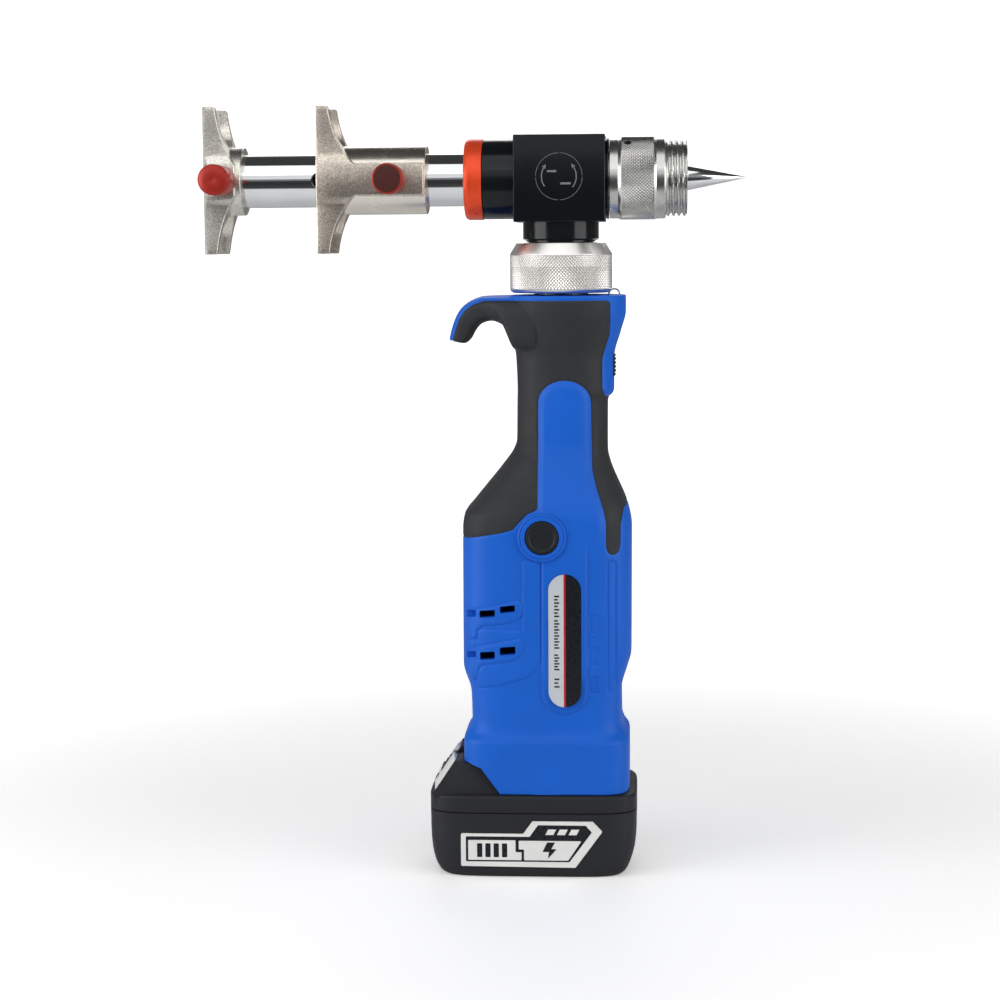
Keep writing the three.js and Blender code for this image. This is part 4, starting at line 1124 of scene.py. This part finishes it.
def expander_adapter():
    starts, pitch, knurl = 80, 1.9, (33.2, 51.2)
    thread, turns = (58.2, 68.8), 3.6
    outside = [(21.8, 27.2), (21.8, 31.6), (22.3, 32.5)]
    outside += [(22.6, x) for x in span(*knurl, pitch / 6)]
    outside += [(22.3, 51.9), (22.0, 52.4), (22.0, 56.8), (21.6, 57.3), (20.2, 57.6)]
    outside += [(20.7, x) for x in span(*thread, 0.22)]
    outside += [(19.6, 69.2)]
    inside = [(13, 20.2), (13, 46), (7, 46), (7, 62), (15, 62), (15, 69.2)]
    profile = [(13, 20.2), (15.7, 20.2), (15.7, 26.9), (21.5, 26.9), *outside, *inside[::-1]]

    def relief(angle, radius, height):
        knurled = (radius > 22.5) & (height > knurl[0] + 0.1) & (height < knurl[1] - 0.1)
        threaded = (radius > 20.6) & (radius < 20.8) & (height > thread[0] - 0.1)
        turn = (height - thread[0]) / (thread[1] - thread[0]) * turns - angle / (2 * math.pi)
        wave = 1 - np.abs(2 * (turn - np.floor(turn)) - 1)
        thread_cut = -1.7 * (1 - ease(wave, 0.12, 0.8))
        return np.where(knurled, diamond(angle, height, starts, pitch, 0.5),
                        np.where(threaded, thread_cut, 0))

    adapter = relief_lathe("expander_adapter_threaded", profile, relief, 6 * starts, HEAD_AXIS, "X")
    screw_axis = (36.8, 0, HEAD_Z)
    cut(adapter, tilted_screw("set_screw_room", 2.0, 18, 26, screw_axis))
    finish_piece(adapter, "head", "turned_alloy", "expander_adapter", sharp=24, look=TURNED_X)
    # Painted shade in the adapter's knurl grooves.
    paint_groove_shade(adapter, GROOVE_PAINTED_SHADE_DARK, "X", *knurl, 22.24)
    screw = tilted_screw("set_screw", 1.6, 18.2, 21.9, screw_axis, socket=True)
    finish_piece(screw, "head", "dark_steel", "adapter_set_screw")


def tilted_screw(name, radius, low, high, spot, socket=False):
    """A short upright cylinder at the head axis, leaned 32 degrees towards the front."""
    made = cylinder(name, radius, low, high, (0, 0, 0), "Z", 32, edge=0.15)
    if socket:
        hexagon = [(0.85 * math.cos(math.pi * k / 3), 0.85 * math.sin(math.pi * k / 3)) for k in range(6)]
        cut(made, prism("socket", hexagon, high - 1.4, high + 1, "Z"))
    turn = Matrix.Translation(Vector(spot) * MM) @ Matrix.Rotation(math.radians(32), 4, "X")
    made.data.transform(turn)
    return made


def head_block():
    low, high, depth = BLOCK_LOW, BLOCK_HIGH, BLOCK_HALF_DEPTH
    corners = [(-depth, low), (depth, low), (depth, high), (-depth, high)]
    main = bevel(prism("head_block_body", rounded(corners, 1.2, 3), BLOCK_LEFT, BLOCK_RIGHT, "X"), 0.5, 3, 60)
    barrel = turned_x("barrel", [(0, -50.2), (19, -50.2), (19, COLLAR_RIGHT + 0.3),
                                 (BARREL_R, COLLAR_RIGHT + 0.3), (BARREL_R, BLOCK_LEFT + 2),
                                 (0, BLOCK_LEFT + 2)], 0.3)
    step_end = BLOCK_RIGHT + 1.9
    step = turned_x("step", [(0, BLOCK_RIGHT - 2), (21.6, BLOCK_RIGHT - 2), (21.6, BLOCK_RIGHT + 0.7),
                             (22.1, BLOCK_RIGHT + 0.9), (22.1, step_end), (0, step_end)], 0.15)
    stem = revolve("stem", [(0, 327), (17.6, 327), (17.9, 327.3), (17.9, 349.7), (19, 349.7), (19, 350.4),
                            (20, 350.5), (20.9, 351.4), (20.9, 364), (0, 364)], facets=128)
    join(main, barrel, step, stem)
    cut(main, cylinder("bore", 16, -60, 40, HEAD_AXIS, "X", 96))
    cut(main, cylinder("spigot_bore", 12.1, 320, 347, (0, 0, 0), "Z"))
    cut(main, cylinder("oil_way", 1.8, 340, HEAD_Z, (0, 0, 0), "Z", 24))
    finish_piece(main, "head", "black_anodised", "head_block", sharp=32)


def arc_band(radius, width, start, end, centre, steps=40):
    """A thin arc's outline in the XZ plane, angles in degrees."""
    angles = [math.radians(start + (end - start) * k / steps) for k in range(steps + 1)]
    ring = [(radius + width / 2, a) for a in angles] + [(radius - width / 2, a) for a in angles[::-1]]
    return [(centre[0] + r * math.cos(a), centre[1] + r * math.sin(a)) for r, a in ring]


def direction_marks():
    """Turning arrows inside a fine circle, printed on the head's front; words left out."""
    centre = (-0.2, HEAD_Z + 0.8)
    front = (-BLOCK_HALF_DEPTH - 0.06, -BLOCK_HALF_DEPTH + 0.05)
    shapes = [arc_band(12.6, 0.22, 2 + 90 * k, 88 + 90 * k, centre) for k in range(4)]
    shapes.append(arc_band(9.4, 0.55, 148, 214, centre))
    shapes.append(arc_band(9.4, 0.55, -38, 34, centre))
    for angle, lean in ((148, -1), (34, 1)):
        a = math.radians(angle)
        tip = (centre[0] + 9.4 * math.cos(a), centre[1] + 9.4 * math.sin(a))
        way = (-math.sin(a) * lean, math.cos(a) * lean)
        across = (-way[1], way[0])
        shapes.append([
            (tip[0] + 1.9 * way[0], tip[1] + 1.9 * way[1]),
            (tip[0] - 0.5 * way[0] + 1.1 * across[0], tip[1] - 0.5 * way[1] + 1.1 * across[1]),
            (tip[0] - 0.5 * way[0] - 1.1 * across[0], tip[1] - 0.5 * way[1] - 1.1 * across[1]),
        ])
    marks = [prism("mark", shape, *front) for shape in shapes]
    for x0, x1, z in ((-6.6, -1.6, 387.6), (0.6, 6.2, 381.0)):
        marks.append(block("bar", x0, x1, *front, z - 0.55, z + 0.55))
    finish_piece(merged("direction_marks", marks), "head", "black_anodised", look=ETCHED_GREY)


def collar_nut():
    profile = rounded([(14.9, COLLAR_LEFT), (20.2, COLLAR_LEFT), (21.6, COLLAR_LEFT + 0.8),
                       (22.1, COLLAR_LEFT + 2.4), (22.1, COLLAR_RIGHT), (19.2, COLLAR_RIGHT), (19.2, -51.5),
                       (14.9, -51.5)], 0.35, 3)
    nut = revolve("collar_nut_turned", profile, HEAD_AXIS, "X", 128, closed=True)
    finish_piece(nut, "head", "orange_anodised", "collar_nut", sharp=50)


def guide_tube():
    profile = rounded([(TUBE_BORE_R, TUBE_LEFT), (TUBE_R - 0.8, TUBE_LEFT), (TUBE_R, TUBE_LEFT + 0.8),
                       (TUBE_R, -51.4), (18.9, -51.4), (18.9, -50.5), (TUBE_BORE_R, -50.5)], 0.2, 2)
    tube = revolve("guide_tube_turned", profile, HEAD_AXIS, "X", 128, closed=True)
    half = PIN_R + 0.2
    slot = []
    for centre, start in ((SLIDER_PIN_X - PRESS_STROKE, 90), (SLIDER_PIN_X, -90)):
        for k in range(17):
            angle = math.radians(start + 180 * k / 16)
            slot.append((centre + half * math.cos(angle), HEAD_Z + half * math.sin(angle)))
    cut(tube, prism("slot", slot, -30, 30))
    cut(tube, cylinder("pin_hole", PIN_R + 0.15, -30, 30, (END_PIN_X, 0, HEAD_Z)))
    finish_piece(tube, "head", "chrome", "guide_tube", sharp=40)


def tube_end_plug():
    plug = turned_x("tube_end_plug_turned", [(0, -180.2), (9.85, -180.2), (9.85, -174), (0, -174)], 0.5)
    finish_piece(plug, "head", "dark_steel", "tube_end_plug")


def jaw_outline(left, tip_right, band_at, right, steps=14):
    """Side view of a jaw: tips up and down, hollow arcs into the middle band."""
    top, bottom, band = HEAD_Z + JAW_REACH, HEAD_Z - JAW_REACH, 8.4
    bend_x, bend_z = tip_right + 2.5, band + 11
    arc = []
    for k in range(steps + 1):
        t = k / steps
        x = (1 - t) ** 2 * tip_right + 2 * t * (1 - t) * bend_x + t * t * band_at
        z = (1 - t) ** 2 * JAW_REACH + 2 * t * (1 - t) * bend_z + t * t * band
        arc.append((x, z))
    outline = [(left, bottom)] + [(x, HEAD_Z - z) for x, z in arc]
    if right > band_at:
        outline += [(right, HEAD_Z - band), (right, HEAD_Z + band)]
    return outline + [(x, HEAD_Z + z) for x, z in arc[::-1]] + [(left, top)]


def pipe_seat(way, radius, x0, x1):
    """Cutter for the round seat between two tips, above (way 1) or below (way -1) the tube."""
    centre = HEAD_Z + way * 33.5
    far = HEAD_Z + way * 45
    points = [(-radius, far)]
    for k in range(25):
        angle = math.pi * k / 24
        points.append((-radius * math.cos(angle), centre - way * radius * math.sin(angle)))
    return prism("seat", points + [(radius, far)], x0, x1, "X")


def jaw_plate(name, outline):
    """The jaw's plate, 1.3 mm thinner on each side beyond its middle band and 0.8 mm at the tips."""
    plate = bevel(prism(name, outline, -JAW_HALF_DEPTH, JAW_HALF_DEPTH), 0.7, 3, 25)
    work = bmesh.new()
    work.from_mesh(plate.data)
    for height in list(span(-38, -9.5, 1.9)) + list(span(9.5, 38, 1.9)):
        geometry = work.verts[:] + work.edges[:] + work.faces[:]
        level = (0, 0, (HEAD_Z + height) * MM)
        bmesh.ops.bisect_plane(work, geom=geometry, plane_co=level, plane_no=(0, 0, 1))
    for vert in work.verts:
        away = abs(vert.co.z / MM - HEAD_Z)
        sink = 1.3 * float(ease(away, 8.6, 14.0)) - 0.5 * float(ease(away, 18, 38))
        depth = abs(vert.co.y) / MM
        if depth > 10:
            vert.co.y = math.copysign((depth - sink) * MM, vert.co.y)
    work.to_mesh(plate.data)
    work.free()
    return plate


def jaw(name, outline, left, right, bore):
    """Plate and hub with two stepped pipe seats, bored for the tube."""
    made = jaw_plate(name, outline)
    hub = [(0, left), (JAW_HUB_R, left), (JAW_HUB_R, right), (0, right)]
    join(made, turned_x("hub", hub, 0.7))
    for way in (-1, 1):
        cut(made, pipe_seat(way, 14, -220, -60))
        cut(made, pipe_seat(way, 16.2, left + 3.4, -60))
    join(made, turned_x("hub", hub, 0.7))
    return cut(made, cylinder("bore", bore, -220, -60, HEAD_AXIS, "X", 96))


def sliding_jaw():
    left = -132.8
    outline = jaw_outline(left, left + 7, -111.5, -73.8)
    made = jaw("sliding_jaw_cast", outline, left, -73.3, TUBE_R + 0.1)
    cut(made, cylinder("pin_hole", PIN_R + 0.1, -30, 30, (SLIDER_PIN_X, 0, HEAD_Z)))
    finish_piece(made, "press_slider", "cast_nickel", "sliding_jaw", sharp=32)
    made.data.materials.append(TURNED_NICKEL)
    for face in made.data.polygons:
        x, y, z = (c / MM for c in face.center)
        on_hub = abs(math.hypot(y, z - HEAD_Z) - JAW_HUB_R) < 0.35
        if -116 < x < -73.6 and on_hub and abs(z - HEAD_Z) > 8.7:
            face.material_index = 1


def end_jaw():
    left = -194.8
    outline = jaw_outline(left, left + 7, -177.4, -177.4)
    made = jaw("end_jaw_cast", outline, left, -174.6, TUBE_R + 0.15)
    turned = Matrix.Rotation(math.pi / 4, 4, "Z")
    for side in (-1, 1):
        chamfer = block("chamfer", -1.8, 1.8, -1.8, 1.8, 330, 440)
        corner = Matrix.Translation((left * MM, side * JAW_HALF_DEPTH * MM, 0))
        chamfer.data.transform(corner @ turned)
        cut(made, chamfer)
    cut(made, cylinder("pin_hole", PIN_R + 0.1, -30, 30, (END_PIN_X, 0, HEAD_Z)))
    # Painted highlight: the end jaw takes a lighter copy of the same cast nickel.
    finish_piece(made, "head", "cast_nickel", "end_jaw", sharp=32, look=NICKEL_PAINTED_HIGHLIGHT)


def jaw_pin(name, x, knob_end, body, node, painted_shade_look=None):
    """Cross pin with a plain anodised knob, faced off with a small centre mark. An optional darker red disc
    on the knob's face is painted shade that stands for a dark reflection.
    """
    profile = [(0, knob_end + 0.35), (0.6, knob_end), (7.5, knob_end), (KNOB_R, knob_end + 0.75),
               (KNOB_R, -21.8), (KNOB_R - 0.5, -21.2), (PIN_R, -21.2), (PIN_R, 19.8), (PIN_R - 0.6, 20.4),
               (0, 20.4)]
    pin = revolve(name, profile, (x, 0, HEAD_Z), "Y", 96)
    finish_piece(pin, body, "red_anodised", node, sharp=50)
    # When given, the disc on the knob's face carries painted shade in place of a dark reflection.
    if painted_shade_look:
        face = cylinder(name + "_face", 7.4, knob_end - 0.04, knob_end + 0.2, (x, 0, HEAD_Z), edge=0.03)
        finish_piece(face, body, "red_anodised", look=painted_shade_look)


def push_rod():
    rod = turned_x("push_rod_turned", [(0, -102), (9.9, -102), (9.9, -9.2), (0, -9.2)], 0.8)
    cut(rod, cylinder("pin_hole", PIN_R + 0.1, -20, 20, (SLIDER_PIN_X, 0, HEAD_Z)))
    finish_piece(rod, "press_slider", "chrome", "push_rod")


def mandrel():
    profile = [(0, 4), (4.4, 4), (4.4, 7.3), (6.6, 7.3), (6.9, 7.6), (6.9, 69.4), (6.75, 69.8), (0.3, 101.8),
               (0, 102.2)]
    made = revolve("expander_mandrel_ground", profile, HEAD_AXIS, "X", 128)
    finish_piece(made, "expander_slider", "chrome", "expander_mandrel", sharp=50)


# ------------------------------------------------------------------ springs


def spring(name, start, end, origin, axis, radius, wire, turns, body):
    """A coil from its resting end to its driven end."""
    sides, per_turn = 10, 28
    count = turns * per_turn
    way = 1 if end > start else -1
    points = []
    for k in range(count + 1):
        turn = k / per_turn
        climb = min(max((turn - 0.75) / (turns - 1.5), 0), 1)
        height = start + way * wire + (end - start - 2 * way * wire) * climb
        angle = 2 * math.pi * turn
        out = np.array([math.cos(angle), math.sin(angle), 0])
        for j in range(sides):
            a = 2 * math.pi * j / sides
            points.append(out * (radius + wire * math.cos(a)) + [0, 0, height + wire * math.sin(a)])
    points = np.array(points)[:, TURNED_ORDER[axis]]
    faces = [tuple(range(sides)), tuple(range((count + 1) * sides - 1, count * sides - 1, -1))]
    faces += ring_quads(count + 1, sides)
    coil = outward(new_object(name + "_coil", points + np.array(origin), faces))
    finish_piece(coil, body, "spring_steel", name, sharp=60)
    along = Vector({"X": (1, 0, 0), "Y": (0, 1, 0), "Z": (0, 0, 1)}[axis])
    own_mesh(coil)


def springs():
    button_axis = (BUTTON_X, 0, BUTTON_Z)
    spring("press_return_spring", -173.7, -102.6, HEAD_AXIS, "X", 8.0, 0.9, 10, "head")
    spring("expander_return_spring", 45.8, 7.5, HEAD_AXIS, "X", 10.4, 1.1, 6, "head")
    spring("trigger_spring", 15.5, 20.1, (0, 0, TRIGGER_Z), "X", 2.4, 0.3, 3, "handle")
    spring("release_spring", -24.6, -30.3, button_axis, "Y", 3.2, 0.35, 4, "handle")
    spring("latch_spring", 45.1, 51.8, (-58, 0, 0), "Z", 2.8, 0.35, 4, "battery")


# ------------------------------------------------------------------ battery


def battery_cases():
    lower = stack("battery_lower_skin", BATTERY, step=0.7, columns=360)
    cut(lower, stack("cells_room", BATTERY, inset=2.4, step=4, columns=80, span=(2.6, 36.0)))
    cut(lower, block("open_top", -60, 30, -30, 30, 35, 38))
    cut(lower, prism("label_room", decal_outline(0.2), -42, -36.8))
    finish_piece(lower, "battery", "case_black", "battery_lower_case", sharp=30)
    finish_piece(battery_top(), "battery", "case_black", "battery_upper_case", sharp=30)


def battery_top():
    low = BATTERY_SEAM + 0.4
    left, right, depth = BATTERY[-1][1:4]
    lid = stack("battery_upper_skin", [
        (low, left + 0.3, right - 0.3, depth - 0.3, 6),
        (low + 0.6, left, right, depth, 6),
        (BATTERY_TOP - 2, left, right, depth, 6),
        (BATTERY_TOP - 0.6, left + 0.7, right - 0.7, depth - 0.7, 6),
        (BATTERY_TOP, left + 2, right - 2, depth - 2, 6),
    ], step=0.4, columns=360)
    cut(lid, stack("lid_room", [(low - 1, left + 2.4, right - 2.4, depth - 2.4, 6),
                                (43.6, left + 2.4, right - 2.4, depth - 2.4, 6)], columns=80))
    side = rounded([(-71.4, 44), (-58.6, 63.2), (-56.6, 64.2), (-51.4, 63), (-44.7, 60.7), (-34.9, 47.6),
                    (-34.2, 44)], 1.2, 3)
    wedge = prism("shoulder", side, -36, 36)
    front = rounded([(-33.8, 44), (33.8, 44), (32.6, 52), (28.4, 70), (-28.4, 70), (-32.6, 52)], 1.5, 3)
    combine(wedge, prism("shoulder_front", front, -80, -20, "X"), "INTERSECT")
    rail = [(-19, 44), (19, 44), (19, 52), (24, 52), (24, 57.6), (-24, 57.6), (-24, 52), (-19, 52)]
    join(lid, bevel(wedge, 0.9, 3, 30), bevel(prism("rails", rail, -45, 28.5, "X"), 0.4, 2, 60))
    for side_sign in (-1, 1):
        rib = prism("rib", rounded([(-70.9, 46), (-58.9, 64.1), (-56.8, 64.4), (-67, 45)], 0.6, 3),
                    side_sign * 27.6 - 1.6, side_sign * 27.6 + 1.6)
        join(lid, bevel(rib, 0.8, 3, 40))
    cut(lid, block("latch_room", -70.2, -50, -9.2, 9.2, 44.8, 80))
    for y in (-7, 0, 7):
        cut(lid, block("terminal_slot", -22, 40, y - 1.3, y + 1.3, 53, 60))
    return lid


def battery_latch():
    """Release button on the slope, with finger ribs."""
    outline = [(-69.4, 52), (-50.4, 52), (-50.4, 65.2), (-52.8, 65.2), (-52.8, 60.6), (-61.6, 60.6)]
    button = prism("battery_latch_body", outline, -8.9, 8.9)
    bevel(button, 0.6, 3, 30)
    for k in range(4):
        x = -67.6 + 2.0 * k
        z = 53.6 + 2.2 * k
        join(button, bevel(block("rib", x - 0.8, x + 0.9, -7.6, 7.6, z, z + 1.9), 0.4, 2, 40))
    finish_piece(button, "latch", "black_plastic", "battery_latch", sharp=35)


def decal_outline(grow=0.0):
    return rounded([(-55.3 - grow, 6.9 - grow), (8.0 + grow / 2, 6.4 - grow), (22.9 + grow, 26.8),
                    (17.6 + grow / 2, 32.4 + grow), (-15.7 - grow / 2, 32.4 + grow), (-20.8, 25.3 + grow),
                    (-55.3 - grow, 25.3 + grow)], 1.0, 3)


def battery_decal():
    """White frame round dark and white fields; its lettering is replaced with plain bars."""
    frame_plate = prism("decal_frame", decal_outline(), -37.75, -36.85)
    dark = rounded([(-52.6, 9.5), (4.7, 9.5), (17.1, 26.4), (13.7, 30.2), (-12.6, 30.3), (-17.3, 23.7),
                    (-52.6, 23.7)], 0.6, 3)
    cut(frame_plate, prism("field", dark, -40, -37.35))
    finish_piece(frame_plate, "battery", "label_white", "battery_label")
    field = prism("decal_field", dark, -37.5, -37.3)
    finish_piece(field, "battery", "label_white", look=LABEL_BLACK)
    fields = [
        [(-51.3, 10.4), (-21.8, 10.4), (-21.8, 14.9), (-25.1, 14.9), (-25.1, 21.6), (-51.3, 21.6)],
        [(-20.4, 10.4), (4.0, 10.4), (11.3, 21.4), (-23.3, 21.4), (-23.3, 16.5), (-20.4, 16.5)],
    ]
    plate_span, mark_span = (-37.68, -37.45), (-37.74, -37.66)
    plates = [prism("plate", rounded(points, 0.4, 2), *plate_span) for points in fields]
    for x in (-8.6, -2.2, 4.2):
        bar = [(x, 24.8), (x + 4.4, 24.8), (x + 6.0, 27.9), (x + 1.6, 27.9)]
        plates.append(prism("bar", bar, *plate_span))
    finish_piece(merged("decal_plates", plates), "battery", "label_white")
    marks = []
    for k in range(4):
        left = -46.4 + 4.6 * k
        bar = rounded([(left, 12), (left + 2.9, 12), (left + 2.9, 19.8), (left, 19.8)], 0.4, 2)
        marks.append(prism("charge_bar", bar, *mark_span))
    bolt = [(-7.2, 11.4), (-2.4, 16.8), (-5.4, 16.8), (-3.2, 20.6), (-7.6, 20.6), (-10.2, 15.2), (-6.6, 15.2)]
    marks.append(prism("bolt", bolt, *mark_span))
    finish_piece(merged("decal_marks", marks), "battery", "label_white", look=LABEL_BLACK)


def slope_labels():
    """Pale cheeks on the battery's slope, rising towards the latch between them."""
    low, high = np.array([-70.4, 0, 47.1]), np.array([-59.2, 0, 63.7])
    out = np.array([-0.829, 0, 0.559])
    section = [(25.4, 0.2), (9.6, 2.1), (9.6, -0.5), (25.4, -0.5)]
    cheeks = []
    for side in (-1, 1):
        verts = [end + out * rise + [0, side * y, 0] for end in (low, high) for y, rise in section]
        faces = [(0, 1, 2, 3), (7, 6, 5, 4)] + [(k, k + 4, (k + 1) % 4 + 4, (k + 1) % 4) for k in range(4)]
        cheeks.append(bevel(outward(new_object("cheek", verts, faces)), 0.25, 2))
    finish_piece(merged("slope_cheeks", cheeks), "battery", "label_white")


# ------------------------------------------------------------------ assembly

add_camera()
add_lights()
add_world()
add_floor()

slots = {part["node"]: part["material_slot"] for part in frame["record"]["subparts"]}
for node_name, cad_object in frame["nodes"].items():
    cad_object.data.materials.clear()
    cad_object.data.materials.append(LOOKS[slots[node_name]])

skin = housing_body()
housing_shells(skin)
housing_grips(skin)
drop(skin)
side_label()
release_button()
trigger()
lanyard_eye()
swivel_ring()
head_block()
direction_marks()
collar_nut()
guide_tube()
tube_end_plug()
sliding_jaw()
end_jaw()
jaw_pin("end_pin_turned", END_PIN_X, -46, "end_pin", "end_jaw_pin")
# The slider pin's knob face gets the darker red of painted shade.
jaw_pin("slider_pin_turned", SLIDER_PIN_X, -39.5, "slider_pin", "sliding_jaw_pin", KNOB_FACE_PAINTED_SHADE)
push_rod()
expander_adapter()
mandrel()
battery_cases()
battery_latch()
battery_decal()
slope_labels()
springs()

boxes = {"cad": CAD_BOX, "visual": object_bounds()}
{key: [list(corner) for corner in box] for key, box in boxes.items()}
